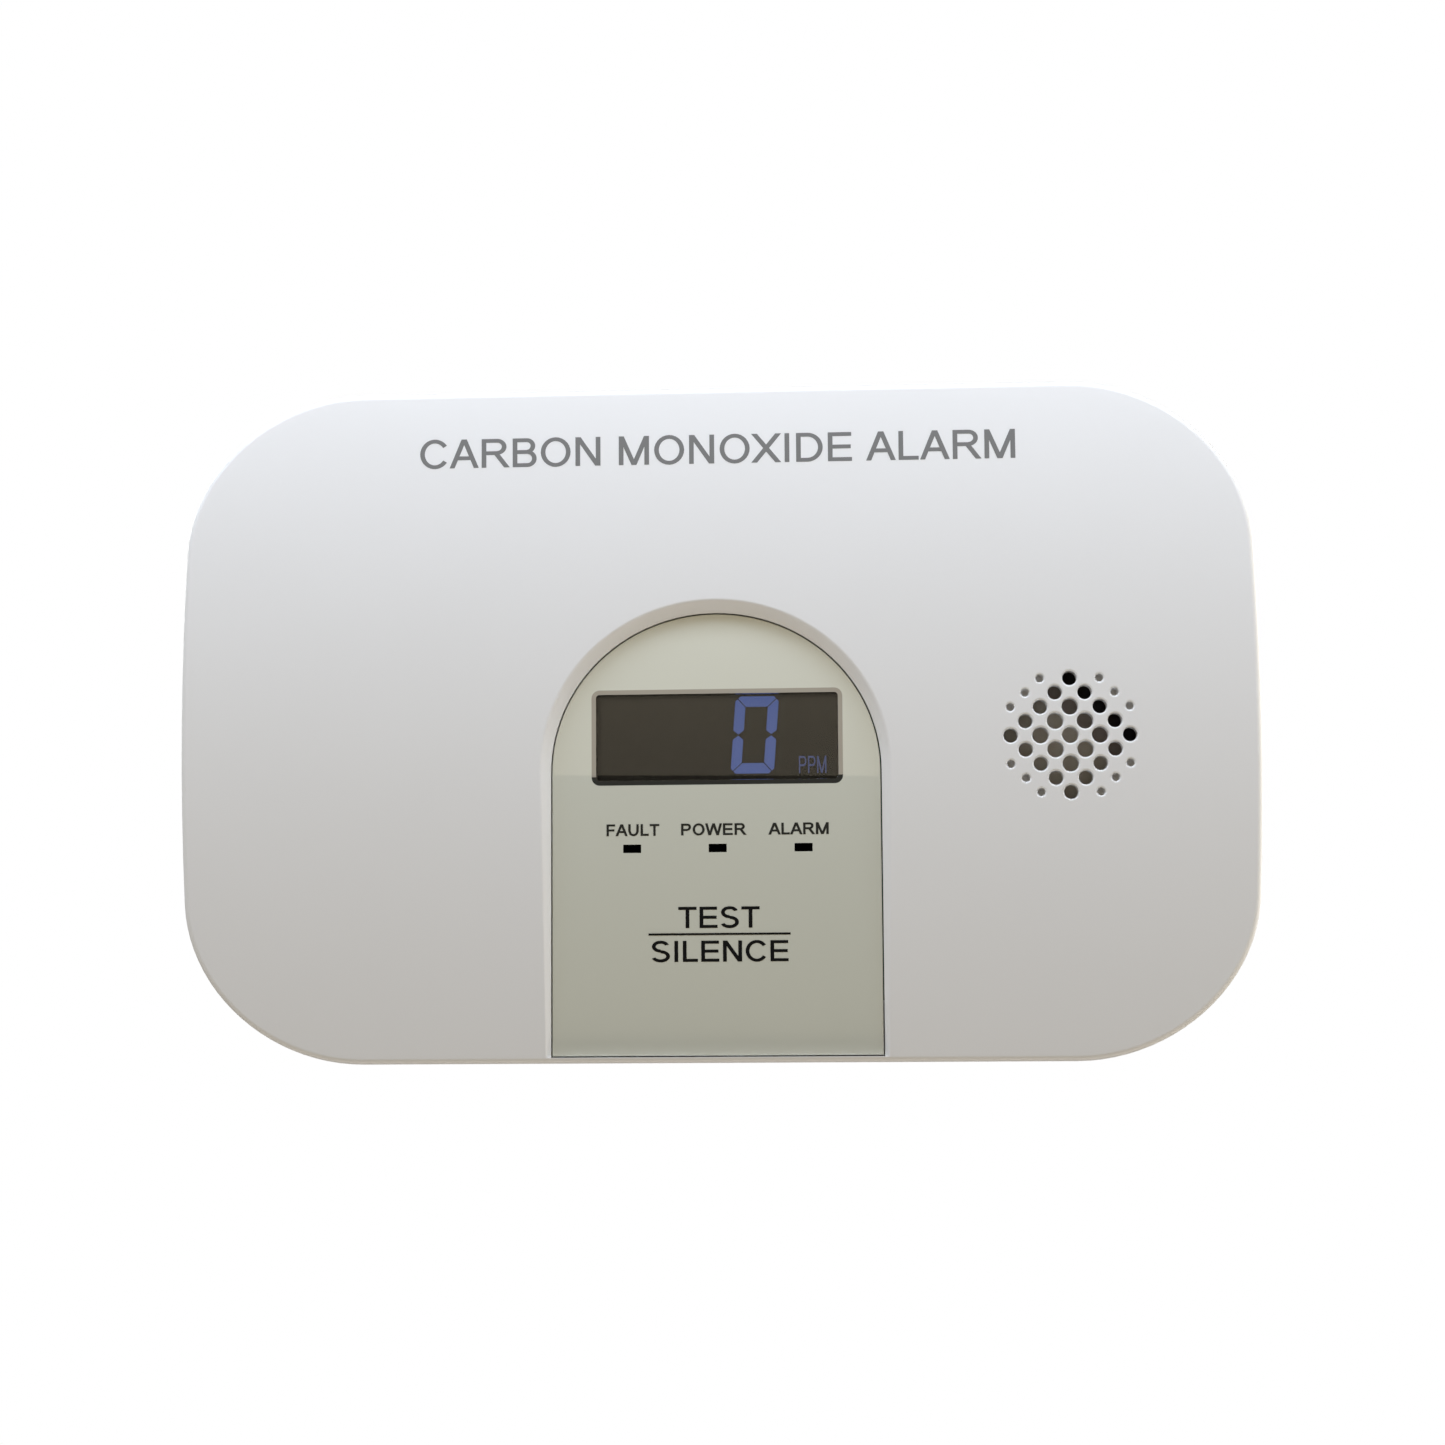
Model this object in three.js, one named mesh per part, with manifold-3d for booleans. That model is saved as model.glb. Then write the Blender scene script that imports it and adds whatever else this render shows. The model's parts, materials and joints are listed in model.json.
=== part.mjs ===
// Wall-hung carbon monoxide alarm: white housing, hinged arch-shaped test panel with a display behind it,
// sounder grille, sensor, circuit board and a three-cell battery bay closed by a sliding door.
// Millimetres, +Z up. The wall is the plane y = 0 and the front faces -Y. Depths are measured from the
// wall, so a depth d lies at y = -d. The housing's centre line is x = 0, and heights are measured from
// the housing's centre until the last group moves the origin to the hanging point.

import * as THREE from "three";
import { mergeVertices } from "three/addons/utils/BufferGeometryUtils.js";
import Module from "manifold-3d";

const wasm = await Module();
wasm.setup();

// Housing
const WIDTH = 120;
const HEIGHT = 75;
const DEPTH = 36;
const CORNER_RX = 19.5;
const CORNER_RZ = 17.8;
const SIDE_BOW = 0.03;
const PARTING = 14;
const EDGE_RADIUS = 1;
const COVER_WALL = 2.2;
const FACE_WALL = 2;
const BACK_INSET = 1;
const BACK_WALL = 3;
const BACK_SIDE = 2;
const COLLAR = { wall: 1.6, bottom: -36, rear: 31.9 };

// GAP is the clearance between touching pieces, FUSE is how far joined solids run into each other, and PAST is
// how far a cutter runs on beyond what it cuts.
const GAP = 0.3;
const FUSE = 0.5;
const PAST = 1;

// Hanging points, at the top of the back
const KEYHOLE_X = 30;
const KEYHOLE_Z = 28.5;
const KEYHOLE_DROP = 5.5;
const KEYHOLE_ENTRY_R = 4;
const KEYHOLE_SLOT = 4.2;

// Arch-shaped test panel, sunk into the face: deeper at its top than at its bottom
const ARCH_HALF_WIDTH = 18.25;
const ARCH_RISE = 17.5;
const ARCH_SPRING_Z = -5.3;
const ARCH_TOP_Z = ARCH_SPRING_Z + ARCH_RISE;
const ARCH_BOTTOM_Z = -36.7;
const SINK_TOP = 1.7;
const SINK_BOTTOM = 0.7;
const PANEL_TILT = Math.atan((SINK_TOP - SINK_BOTTOM) / (ARCH_TOP_Z - ARCH_BOTTOM_Z));
const LENS_THICKNESS = 1.2;
const CARRIER_FRONT = 1.4;
const CARRIER_REAR = 2.5;
const CARRIER_SHRINK = 0.6;
const CARRIER_BOTTOM_Z = -34.6;
const RIM_FLARE = 4;
const WELL_REAR = 2.6;
const WELL_INNER_REAR = 9;
const HINGE_Z = 9.8;
const HINGE_DEPTH = 29.9;
const HINGE_ROD_R = 1;
const HINGE_REACH = 13.2;
const HINGE_BLOCK = { near: 11.2, far: 14, rear: 28, front: 32.3, low: 7.9, high: 12.2 };
const EAR = { x: 3.2, width: 2, height: 2.4 };
const STEM = { radius: 2.5, rear: -4.75 };

// Display and indicators behind the panel
const LCD = { x: 0.25, z: -1.5, width: 31, height: 15.4, rear: 28.6, front: 31.3 };
const WINDOW = { x: 0.25, z: -1.5, width: 27.4, height: 10.6 };
const BACKLIGHT = { z: 1.1, width: 30, height: 12.4, rear: 26.3 };
const ZEBRA = { z: -6.7, width: 28, height: 1.8, rear: 25.8 };
const LED_PITCH = 9.5;
const LED_Z = -13.9;
const TEST_Z = -23.5;
const SLOT = { width: 2.8, height: 1.7 };
const SHROUD = { width: 26, height: 4.4, front: 31.6, hole: [4.2, 2.6] };
const LED_CHIP = { base: [3.2, 1.6], lens: [2.2, 1.2], step: 1, top: 1.6 };
const SWITCH = { side: 6, front: 29, wellRear: 27.3, wellR: 2.1, plungerR: 1.8, plungerFront: 30 };

// Circuit board
const BOARD_REAR = 23.9;
const BOARD_FRONT = 25.5;
const BOARD_SCREWS = [[-25, 27], [-25, -27], [36, 27], [36, -27]];
const CASE_SCREWS = [[-48.5, 26], [-48.5, -26], [48.5, 26], [48.5, -26]];
const CASE_BOSS = { radius: 3.2, pilot: 1.4, pilotFront: 28, recess: 0.8 };
const BOARD_BOSS = { radius: 3, pilot: 1.2, pilotFront: 33, clearance: 1.7 };
const BACK_BOSS = { radius: 4.2, counterbore: 3.1, seat: 9.5, hole: 1.6 };
const CASE_SCREW = { rear: 7.2, headR: 2.7, headHeight: 2, shankR: 1.1, length: 15 };
const BOARD_SCREW = { headR: 2.4, headHeight: 1.8, shankR: 0.9, length: 7.5 };

// Sounder and sensor on the right
const SOUNDER_X = 39.1;
const SOUNDER_Z = -1.9;
const GRILLE_PITCH_X = 1.63;
const GRILLE_PITCH_Z = 1.565;
const GRILLE_RINGS = [
  { from: 0, to: 2, radius: 0.9, through: true, sides: 12 },
  { from: 4, to: 4, radius: 0.785, through: true, sides: 12 },
  { from: 6, to: 6, radius: 0.43, through: false, sides: 8 },
];
const GRILLE_REACH = 4;
const DIMPLE_DEPTH = 0.7;
const LEAD = { x: 8, z: 3, radius: 0.5, hole: 1.1 };
const GASKET = { rear: 31.6, outer: 12.4, inner: 8.5 };
const PIEZO = { plateR: 12.5, plate: [30.9, 31.25], ceramicR: 8.5, ceramic: [30.3, 30.6] };
const SENSOR = { x: 39, z: -2, radius: 10, base: 20.4, rear: 7.8, hole: 1.2, filterR: 6, filter: 0.8 };

// Battery bay: three AA cells lying side by side
const CELL_R = 7.1;
const CELL_LENGTH = 50.5;
const CELL_PITCH = 15.2;
const CELL_DEPTH = 10;
const BAY_X = -12.5;
const BAY_Z = -9.5;
const BAY_LENGTH = 57;
const BAY_HEIGHT = 45.8;
const BAY_FLOOR = 17.8;
const BAY_WALL = 1.5;
const CONTACT = { middle: 28, thickness: 0.4, rear: 4, front: 16.5, halfHeight: 5.5, halfTab: 1.5 };
const SPRING = { start: -27.35, length: 3.9, turns: 3, wide: 4.8, narrow: 3.2, wireR: 0.35 };
const CELL_TAIL = -23;

// Sliding battery door, in grooves on both sides of the bay
const DOOR_HALF_WIDTH = 29.8;
const DOOR_TONGUE = 1.5;
const DOOR_TOP_Z = 14.8;
const DOOR_BACK = 0.3;
const DOOR_FRONT = 2.5;
const LIP = 1.2;
const RAILS = { halfWidth: 33.2, front: 4.7, bottom: -36, above: 1.8 };
const FINGER_GROOVES = { z: -30, pitch: 2.6, count: 3, width: 18, height: 1.2, depth: 0.7 };

// Air slots behind the sensor, in the back and in the right-hand side
const REAR_VENTS = { x: 39, z: -13, pitch: 4.5, count: 6, width: 24, height: 1.8 };
const SIDE_VENTS = { z: -12, pitch: 6, count: 5, height: 1.8, rear: 5, front: 11.5, reach: 8 };

// ---------------------------------------------------------------- materials

function paint(color, roughness, metalness = 0) {
  return new THREE.MeshStandardMaterial({ color, roughness, metalness });
}

const WHITE_ABS = paint(0xe9e9e6, 0.45);
const PANEL_TINT = paint(0xb9bcae, 0.12);
const GREY_ABS = paint(0x8d9084, 0.5);
const LCD_DARK = paint(0x33312c, 0.15);
const DIFFUSER = paint(0xdfe6f2, 0.4);
const BLACK_PLASTIC = paint(0x1c1c1d, 0.5);
const RUBBER = paint(0x2a2a2c, 0.8);
const LED_CLEAR = paint(0xe6ecd8, 0.2);
const BOARD_GREEN = paint(0x1f5a3a, 0.4);
const STEEL = paint(0xb4b7ba, 0.3, 1);
const BRASS = paint(0xb09a62, 0.35, 1);
const CERAMIC = paint(0xd8d4c6, 0.6);
const FELT = paint(0xe8e6df, 0.9);
const FERRITE = paint(0x3a3533, 0.6);
const CAPACITOR_SLEEVE = paint(0x22304e, 0.35);
const CELL_JACKET = paint(0x2f6f8f, 0.3);
const WIRE_RED = paint(0xb02a24, 0.5);
const WIRE_BLACK = paint(0x1b1b1d, 0.5);

// ---------------------------------------------------------------- solids

function toSolid(geometry) {
  geometry.deleteAttribute("normal");
  geometry.deleteAttribute("uv");
  const merged = mergeVertices(geometry);
  const corners = merged.index.array;
  const kept = [];
  for (let i = 0; i < corners.length; i += 3) {
    const [a, b, c] = corners.slice(i, i + 3);
    if (a !== b && b !== c && c !== a) kept.push(a, b, c);
  }
  return new wasm.Manifold(new wasm.Mesh({
    numProp: 3,
    vertProperties: merged.attributes.position.array,
    triVerts: Uint32Array.from(kept),
  }));
}

function toGeometry(solid) {
  const { vertProperties, triVerts } = solid.getMesh();
  const geometry = new THREE.BufferGeometry();
  geometry.setAttribute("position", new THREE.BufferAttribute(vertProperties, 3));
  geometry.setIndex(new THREE.BufferAttribute(triVerts, 1));
  geometry.computeVertexNormals();
  return geometry;
}

const join = (first, ...others) => others.reduce((sum, solid) => sum.add(solid), first);
const cut = (first, ...tools) => tools.reduce((rest, tool) => rest.subtract(tool), first);

function part(name, solid, material) {
  const mesh = new THREE.Mesh(toGeometry(solid), material);
  mesh.name = name;
  return mesh;
}

// A box between two x values, two depths and two heights.
function block(x0, x1, rear, front, z0, z1) {
  const box = new THREE.BoxGeometry(x1 - x0, front - rear, z1 - z0);
  return toSolid(box.translate((x0 + x1) / 2, -(rear + front) / 2, (z0 + z1) / 2));
}

// A box centred on (x, z) between two depths.
function centredBlock(x, z, width, height, rear, front) {
  return block(x - width / 2, x + width / 2, rear, front, z - height / 2, z + height / 2);
}

// A round bar along Y, between two depths.
function disc(x, z, radius, rear, front, sides = 24) {
  const bar = new THREE.CylinderGeometry(radius, radius, front - rear, sides);
  return toSolid(bar.translate(x, -(rear + front) / 2, z));
}

// A round bar along X.
function crossBar(x0, x1, radius, depth, z, sides = 16) {
  const bar = new THREE.CylinderGeometry(radius, radius, x1 - x0, sides);
  return toSolid(bar.rotateZ(Math.PI / 2).translate((x0 + x1) / 2, -depth, z));
}

// A turned piece: radius and depth pairs, from the axis at the front back to the axis at the rear.
function turned(x, z, profile, sides = 28) {
  const points = profile.map(([radius, depth]) => new THREE.Vector2(radius, -depth));
  return toSolid(new THREE.LatheGeometry(points, sides).translate(x, 0, z));
}

function shapeOf(outline) {
  return new THREE.Shape(outline.map(([x, z]) => new THREE.Vector2(x, z)));
}

// An outline in x and z, filled between two depths.
function slab(outline, rear, front) {
  const solid = new THREE.ExtrudeGeometry(shapeOf(outline), { depth: front - rear, bevelEnabled: false });
  return toSolid(solid.rotateX(Math.PI / 2).translate(0, -rear, 0));
}

// The same with both edges rounded.
function roundedSlab(outline, rear, front, radius) {
  const solid = new THREE.ExtrudeGeometry(shapeOf(outline), {
    depth: front - rear - 2 * radius,
    bevelThickness: radius,
    bevelSize: radius,
    bevelOffset: -radius,
    bevelSegments: 3,
  });
  return toSolid(solid.rotateX(Math.PI / 2).translate(0, -rear - radius, 0));
}

// ---------------------------------------------------------------- outlines

// The housing seen from the front: straight top and bottom, bowed sides, elliptical corners.
function housingOutline(inset) {
  const [halfWidth, halfHeight] = [WIDTH / 2 - inset, HEIGHT / 2 - inset];
  const [rx, rz] = [CORNER_RX - inset, CORNER_RZ - inset];
  const quarter = [];
  const sideSteps = 2;
  const cornerSteps = 8;
  for (let i = 0; i < sideSteps; i++) quarter.push([halfWidth, ((halfHeight - rz) * i) / sideSteps]);
  for (let i = 0; i <= cornerSteps; i++) {
    const turn = (Math.PI / 2) * (i / cornerSteps);
    quarter.push([halfWidth - rx + rx * Math.cos(turn), halfHeight - rz + rz * Math.sin(turn)]);
  }
  const topLeft = quarter.map(([x, z]) => [-x, z]).reverse();
  const bottomLeft = quarter.slice(1).map(([x, z]) => [-x, -z]);
  const bottomRight = quarter.slice(1).map(([x, z]) => [x, -z]).reverse();
  const bow = (z) => 1 - SIDE_BOW * (z / (HEIGHT / 2)) ** 2;
  return [...quarter, ...topLeft, ...bottomLeft, ...bottomRight].map(([x, z]) => [x * bow(z), z]);
}

// The test panel's arch, grown by an amount, with its flat bottom at a given height.
function archOutline(grow, bottom) {
  const outline = [[-ARCH_HALF_WIDTH - grow, bottom], [ARCH_HALF_WIDTH + grow, bottom]];
  const steps = 22;
  for (let i = 0; i <= steps; i++) {
    const turn = Math.PI * (i / steps);
    outline.push([
      (ARCH_HALF_WIDTH + grow) * Math.cos(turn),
      ARCH_SPRING_Z + (ARCH_RISE + grow) * Math.sin(turn),
    ]);
  }
  return outline;
}

// ---------------------------------------------------------------- test panel

// The panel's own frame: its top edge on the lens's front surface, tilted with the panel.
const panelFrame = new THREE.Matrix4()
  .makeRotationX(-PANEL_TILT)
  .setPosition(0, SINK_TOP - DEPTH, ARCH_TOP_Z);

const lowered = (outline) => outline.map(([x, z]) => [x, z - ARCH_TOP_Z]);

function inPanelFrame(mesh) {
  mesh.applyMatrix4(panelFrame);
  return mesh;
}

// Slots in the panel parts for the three indicators.
function indicatorSlots(width, height, rear, front) {
  return [-LED_PITCH, 0, LED_PITCH].map(
    (x) => centredBlock(x, LED_Z - ARCH_TOP_Z, width, height, rear, front));
}

function panelLens() {
  return slab(lowered(archOutline(0, ARCH_BOTTOM_Z)), -LENS_THICKNESS, 0);
}

// The plate behind the lens, with the display window, hinge rod and the stem that works the switch.
function panelCarrier() {
  const plate = slab(lowered(archOutline(-CARRIER_SHRINK, CARRIER_BOTTOM_Z)), -CARRIER_REAR, -CARRIER_FRONT);
  const [rear, front] = [-CARRIER_REAR - PAST, PAST];
  const window = centredBlock(WINDOW.x, WINDOW.z - ARCH_TOP_Z, WINDOW.width, WINDOW.height, rear, front);
  const hingeDepth = HINGE_DEPTH - (DEPTH - SINK_TOP);
  const hingeZ = HINGE_Z - ARCH_TOP_Z;
  const root = -CARRIER_REAR + FUSE;
  const ears = [-1, 1].map((side) => centredBlock(
    side * EAR.x, hingeZ, EAR.width, EAR.height, hingeDepth - HINGE_ROD_R, root));
  const rod = crossBar(-HINGE_REACH, HINGE_REACH, HINGE_ROD_R, hingeDepth, hingeZ);
  const stem = disc(0, TEST_Z - ARCH_TOP_Z, STEM.radius, STEM.rear, root);
  const slots = indicatorSlots(SLOT.width, SLOT.height, rear, front);
  return join(cut(plate, window, ...slots), ...ears, rod, stem);
}

// ---------------------------------------------------------------- housing

// Cutters for the arch-shaped opening: a flared rim in front of the lens and the well that it sinks into.
function archCutters() {
  const rim = new THREE.ExtrudeGeometry(shapeOf(lowered(archOutline(GAP, ARCH_BOTTOM_Z - GAP))), {
    depth: PAST,
    bevelThickness: RIM_FLARE,
    bevelSize: RIM_FLARE,
    bevelSegments: 1,
  });
  rim.rotateX(Math.PI / 2).translate(0, -RIM_FLARE, 0).applyMatrix4(panelFrame);
  const overlap = 0.1;
  const well = (bottom, rear) => new THREE.ExtrudeGeometry(
    shapeOf(lowered(archOutline(GAP, bottom))), { depth: rear + overlap, bevelEnabled: false },
  ).rotateX(Math.PI / 2).translate(0, rear, 0).applyMatrix4(panelFrame);
  const innerBottom = COVER_WALL - HEIGHT / 2;
  const wells = [well(ARCH_BOTTOM_Z - GAP, WELL_REAR), well(innerBottom, WELL_INNER_REAR)];
  return [rim, ...wells].map(toSolid);
}

function grilleCutters() {
  const cutters = [];
  for (let i = -GRILLE_REACH; i <= GRILLE_REACH; i++) {
    for (let j = -GRILLE_REACH; j <= GRILLE_REACH; j++) {
      const ring = Math.abs(i) + Math.abs(j);
      const style = GRILLE_RINGS.find(({ from, to }) => ring >= from && ring <= to && ring % 2 === 0);
      if (!style) continue;
      const rear = style.through ? DEPTH - FACE_WALL - PAST : DEPTH - DIMPLE_DEPTH;
      const [x, z] = [SOUNDER_X + i * GRILLE_PITCH_X, SOUNDER_Z + j * GRILLE_PITCH_Z];
      cutters.push(disc(x, z, style.radius, rear, DEPTH + PAST, style.sides));
    }
  }
  return cutters;
}

// Blocks behind the arch's shoulders that carry the panel's hinge rod.
function hingeBlocks() {
  const { near, far, rear, front, low, high } = HINGE_BLOCK;
  return [block(near, far, rear, front, low, high), block(-far, -near, rear, front, low, high)];
}

// The same round bar at each of several places.
function pillars(places, radius, rear, front, sides) {
  return places.map(([x, z]) => disc(x, z, radius, rear, front, sides));
}

function frontCover() {
  const outer = roundedSlab(housingOutline(0), PARTING - 2 * EDGE_RADIUS, DEPTH, EDGE_RADIUS);
  const keep = block(-WIDTH, WIDTH, PARTING, DEPTH + PAST, -HEIGHT, HEIGHT);
  const cavity = slab(housingOutline(COVER_WALL), 0, DEPTH - FACE_WALL);
  const root = DEPTH - FACE_WALL + FUSE;
  const collar = slab(archOutline(GAP + COLLAR.wall, COLLAR.bottom), COLLAR.rear, root);
  const shell = join(outer.intersect(keep).subtract(cavity), collar,
    ...pillars(CASE_SCREWS, CASE_BOSS.radius, PARTING + CASE_BOSS.recess, root, 16),
    ...pillars(BOARD_SCREWS, BOARD_BOSS.radius, BOARD_FRONT + GAP, root, 16));
  const opened = cut(shell, ...archCutters(), ...grilleCutters(),
    ...pillars(CASE_SCREWS, CASE_BOSS.pilot, PARTING, CASE_BOSS.pilotFront, 10),
    ...pillars(BOARD_SCREWS, BOARD_BOSS.pilot, BOARD_FRONT, BOARD_BOSS.pilotFront, 10));
  const bore = crossBar(-HINGE_BLOCK.far - PAST, HINGE_BLOCK.far + PAST, HINGE_ROD_R + GAP, HINGE_DEPTH, HINGE_Z);
  return join(opened, cut(join(...hingeBlocks()), bore));
}

function keyholeCutters() {
  const [rear, front] = [-PAST, BACK_WALL + PAST];
  const half = KEYHOLE_SLOT / 2;
  return [-KEYHOLE_X, KEYHOLE_X].flatMap((x) => [
    disc(x, KEYHOLE_Z - KEYHOLE_DROP, KEYHOLE_ENTRY_R, rear, front, 20),
    block(x - half, x + half, rear, front, KEYHOLE_Z - KEYHOLE_DROP, KEYHOLE_Z),
    disc(x, KEYHOLE_Z, half, rear, front, 16),
  ]);
}

// The heights of a row of equal slots, from the lowest up.
const rowOf = ({ z, pitch, count }) => [...Array(count).keys()].map((i) => z + pitch * i);

function ventCutters() {
  const [back, side] = [REAR_VENTS, SIDE_VENTS];
  const rearSlots = rowOf(back).map(
    (z) => centredBlock(back.x, z, back.width, back.height, -PAST, BACK_WALL + PAST));
  const sideSlots = rowOf(side).map((z) => block(
    WIDTH / 2 - side.reach, WIDTH, side.rear, side.front, z - side.height / 2, z + side.height / 2));
  return [...rearSlots, ...sideSlots];
}

function bayBox(grow, rear, front) {
  return centredBlock(BAY_X, BAY_Z, BAY_LENGTH + 2 * grow, BAY_HEIGHT + 2 * grow, rear, front);
}

// The space that the door and its tongues slide in, open at the bottom of the housing.
function doorWay() {
  const reach = DOOR_HALF_WIDTH + GAP;
  const top = DOOR_TOP_Z + GAP;
  const rear = DOOR_FRONT + GAP;
  return [
    block(BAY_X - reach, BAY_X + reach, -PAST, rear, -HEIGHT, top),
    block(BAY_X - reach - DOOR_TONGUE, BAY_X + reach + DOOR_TONGUE, LIP, rear, -HEIGHT, top),
  ];
}

// The upright rim that the front cover slips over.
function coverRim() {
  const [wall, height] = [1.2, 3];
  const lip = slab(housingOutline(COVER_WALL + GAP), PARTING - height, PARTING + 2);
  return lip.subtract(slab(housingOutline(COVER_WALL + GAP + wall), BACK_WALL, PARTING + height));
}

// Holes in the bay's end walls for the two solder tabs.
function tabSlots() {
  const [halfWidth, halfHeight, front] = [0.7, 2, BAY_FLOOR + BAY_WALL + PAST];
  return [[-1, 0], [1, 2]].map(([side, index]) => {
    const [x, z] = [BAY_X + side * CONTACT.middle, cellHeight(index)];
    return block(x - halfWidth, x + halfWidth, BAY_FLOOR - PAST, front, z - halfHeight, z + halfHeight);
  });
}

function backCover() {
  const outer = roundedSlab(housingOutline(BACK_INSET), 0, PARTING + 2, 1);
  const keep = block(-WIDTH, WIDTH, -PAST, PARTING - GAP, -HEIGHT, HEIGHT);
  const inside = slab(housingOutline(BACK_INSET + BACK_SIDE), BACK_WALL, PARTING + 4);
  const floor = bayBox(BAY_WALL, 1, BAY_FLOOR + BAY_WALL);
  const [railLeft, railRight] = [BAY_X - RAILS.halfWidth, BAY_X + RAILS.halfWidth];
  const rails = block(railLeft, railRight, 1, RAILS.front, RAILS.bottom, DOOR_TOP_Z + RAILS.above);
  const bosses = pillars(CASE_SCREWS, BACK_BOSS.radius, 1, PARTING - GAP, 18);
  const body = join(outer.intersect(keep).subtract(inside), coverRim(), floor, rails, ...bosses);
  return cut(body, bayBox(0, -PAST, BAY_FLOOR), ...doorWay(), ...tabSlots(), ...keyholeCutters(), ...ventCutters(),
    ...pillars(CASE_SCREWS, BACK_BOSS.counterbore, -PAST, BACK_BOSS.seat, 16),
    ...pillars(CASE_SCREWS, BACK_BOSS.hole, BACK_BOSS.seat - FUSE, PARTING + PAST, 10));
}

// ---------------------------------------------------------------- display, indicators and switch

// A strip between the board and the display.
function underDisplay({ z, width, height, rear }) {
  return centredBlock(LCD.x, LCD.z + z, width, height, rear, LCD.rear - GAP);
}

function lcdFrame() {
  const wall = 1;
  const [width, height] = [LCD.width + 2 * GAP, LCD.height + 2 * GAP];
  const [rear, front] = [BOARD_FRONT + GAP, SHROUD.front];
  const outer = centredBlock(LCD.x, LCD.z, width + 2 * wall, height + 2 * wall, rear, front);
  return outer.subtract(centredBlock(LCD.x, LCD.z, width, height, BOARD_REAR, DEPTH));
}

function ledShroud() {
  const body = centredBlock(0, LED_Z, SHROUD.width, SHROUD.height, BOARD_FRONT + GAP, SHROUD.front);
  return cut(body, ...[-LED_PITCH, 0, LED_PITCH].map(
    (x) => centredBlock(x, LED_Z, ...SHROUD.hole, BOARD_REAR, DEPTH)));
}

function ledChip(x) {
  const step = BOARD_FRONT + LED_CHIP.step;
  const base = centredBlock(x, LED_Z, ...LED_CHIP.base, BOARD_FRONT + GAP, step);
  return base.add(centredBlock(x, LED_Z, ...LED_CHIP.lens, step - 0.1, BOARD_FRONT + LED_CHIP.top));
}

function switchBody() {
  const body = centredBlock(0, TEST_Z, SWITCH.side, SWITCH.side, BOARD_FRONT + GAP, SWITCH.front);
  return body.subtract(disc(0, TEST_Z, SWITCH.wellR, SWITCH.wellRear, SWITCH.front + PAST));
}

const switchPlunger = () => disc(0, TEST_Z, SWITCH.plungerR, SWITCH.front - 1, SWITCH.plungerFront);

// ---------------------------------------------------------------- circuit board

function circuitBoard() {
  const outline = [[-29, -31], [42, -31], [42, -20], [54, -20], [54, 20], [42, 20], [42, 31], [-29, 31]];
  const holes = pillars(BOARD_SCREWS, BOARD_BOSS.clearance, BOARD_REAR - PAST, BOARD_FRONT + PAST, 10);
  return cut(slab(outline, BOARD_REAR, BOARD_FRONT), ...holes);
}

// A flat package with rows of legs on two sides.
function microcontroller() {
  const [x, z] = [-6, 22];
  const [rear, front] = [BOARD_REAR - 2, BOARD_REAR - GAP];
  const legs = [...Array(8).keys()].map((i) => centredBlock(x - 5.25 + 1.5 * i, z, 0.6, 10, front - 0.5, front));
  return join(centredBlock(x, z, 13, 7.6, rear, front - 0.2), ...legs);
}

function inductor() {
  const [x, z] = [22, 23];
  const top = BOARD_REAR - 8;
  const front = BOARD_REAR - GAP;
  return turned(x, z, [[0, front], [4.5, front], [4.5, front - 1.2], [3.6, front - 1.6], [3.6, top + 1.6],
    [4.5, top + 1.2], [4.5, top], [0, top]], 20);
}

function capacitor(x, z, radius, length) {
  const front = BOARD_REAR - GAP;
  const rear = front - length;
  return turned(x, z, [[0, front], [radius - 0.3, front], [radius, front - 0.4], [radius, front - 1.4],
    [radius - 0.35, front - 1.8], [radius, front - 2.2], [radius, rear + 0.5], [radius - 0.5, rear], [0, rear]], 16);
}

// ---------------------------------------------------------------- sensor and sounder

function sensorBase() {
  const front = BOARD_REAR - GAP;
  return disc(SENSOR.x, SENSOR.z, SENSOR.radius + 0.6, SENSOR.base + GAP, front, 28);
}

// A metal can with a rolled rim and an air hole in the end that faces the vents.
function sensorCan() {
  const { x, z, radius, base, rear } = SENSOR;
  const can = turned(x, z, [[0, base], [radius, base], [radius, base - 1], [radius - 0.4, base - 1.4],
    [radius - 0.4, rear + 0.8], [radius - 1.2, rear], [0, rear]]);
  return can.subtract(disc(x, z, SENSOR.hole, rear - PAST, rear + 3 * PAST, 20));
}

function sensorFilter() {
  const front = SENSOR.rear - GAP;
  return disc(SENSOR.x, SENSOR.z, SENSOR.filterR, front - SENSOR.filter, front);
}

function sounderCup() {
  const [outer, inner, step] = [14, 12.9, 11.4];
  const [rim, floor, rear, shelf] = [DEPTH - FACE_WALL - GAP, 27.3, BOARD_FRONT + 0.5, 30.4];
  const cup = turned(SOUNDER_X, SOUNDER_Z, [[0, floor], [step, floor], [step, shelf], [inner, shelf], [inner, rim],
    [outer, rim], [outer, rear], [0, rear]], 32);
  const leadHoles = [-LEAD.z, LEAD.z].map(
    (dz) => disc(SOUNDER_X + LEAD.x, SOUNDER_Z + dz, LEAD.hole, rear - PAST, floor + PAST, 14));
  return cut(cup, ...leadHoles);
}

function gasket() {
  const ring = disc(SOUNDER_X, SOUNDER_Z, GASKET.outer, GASKET.rear, DEPTH - FACE_WALL - GAP, 32);
  return ring.subtract(disc(SOUNDER_X, SOUNDER_Z, GASKET.inner, BOARD_REAR, DEPTH, 32));
}

// A thin insulated lead along a smooth curve.
function lead(points) {
  const path = new THREE.CatmullRomCurve3(points.map(([x, depth, z]) => new THREE.Vector3(x, -depth, z)));
  const section = new THREE.Shape().absarc(0, 0, LEAD.radius, 0, 2 * Math.PI);
  const tube = new THREE.ExtrudeGeometry(section, { steps: 9, curveSegments: 4, extrudePath: path });
  return toSolid(tube);
}

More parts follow.
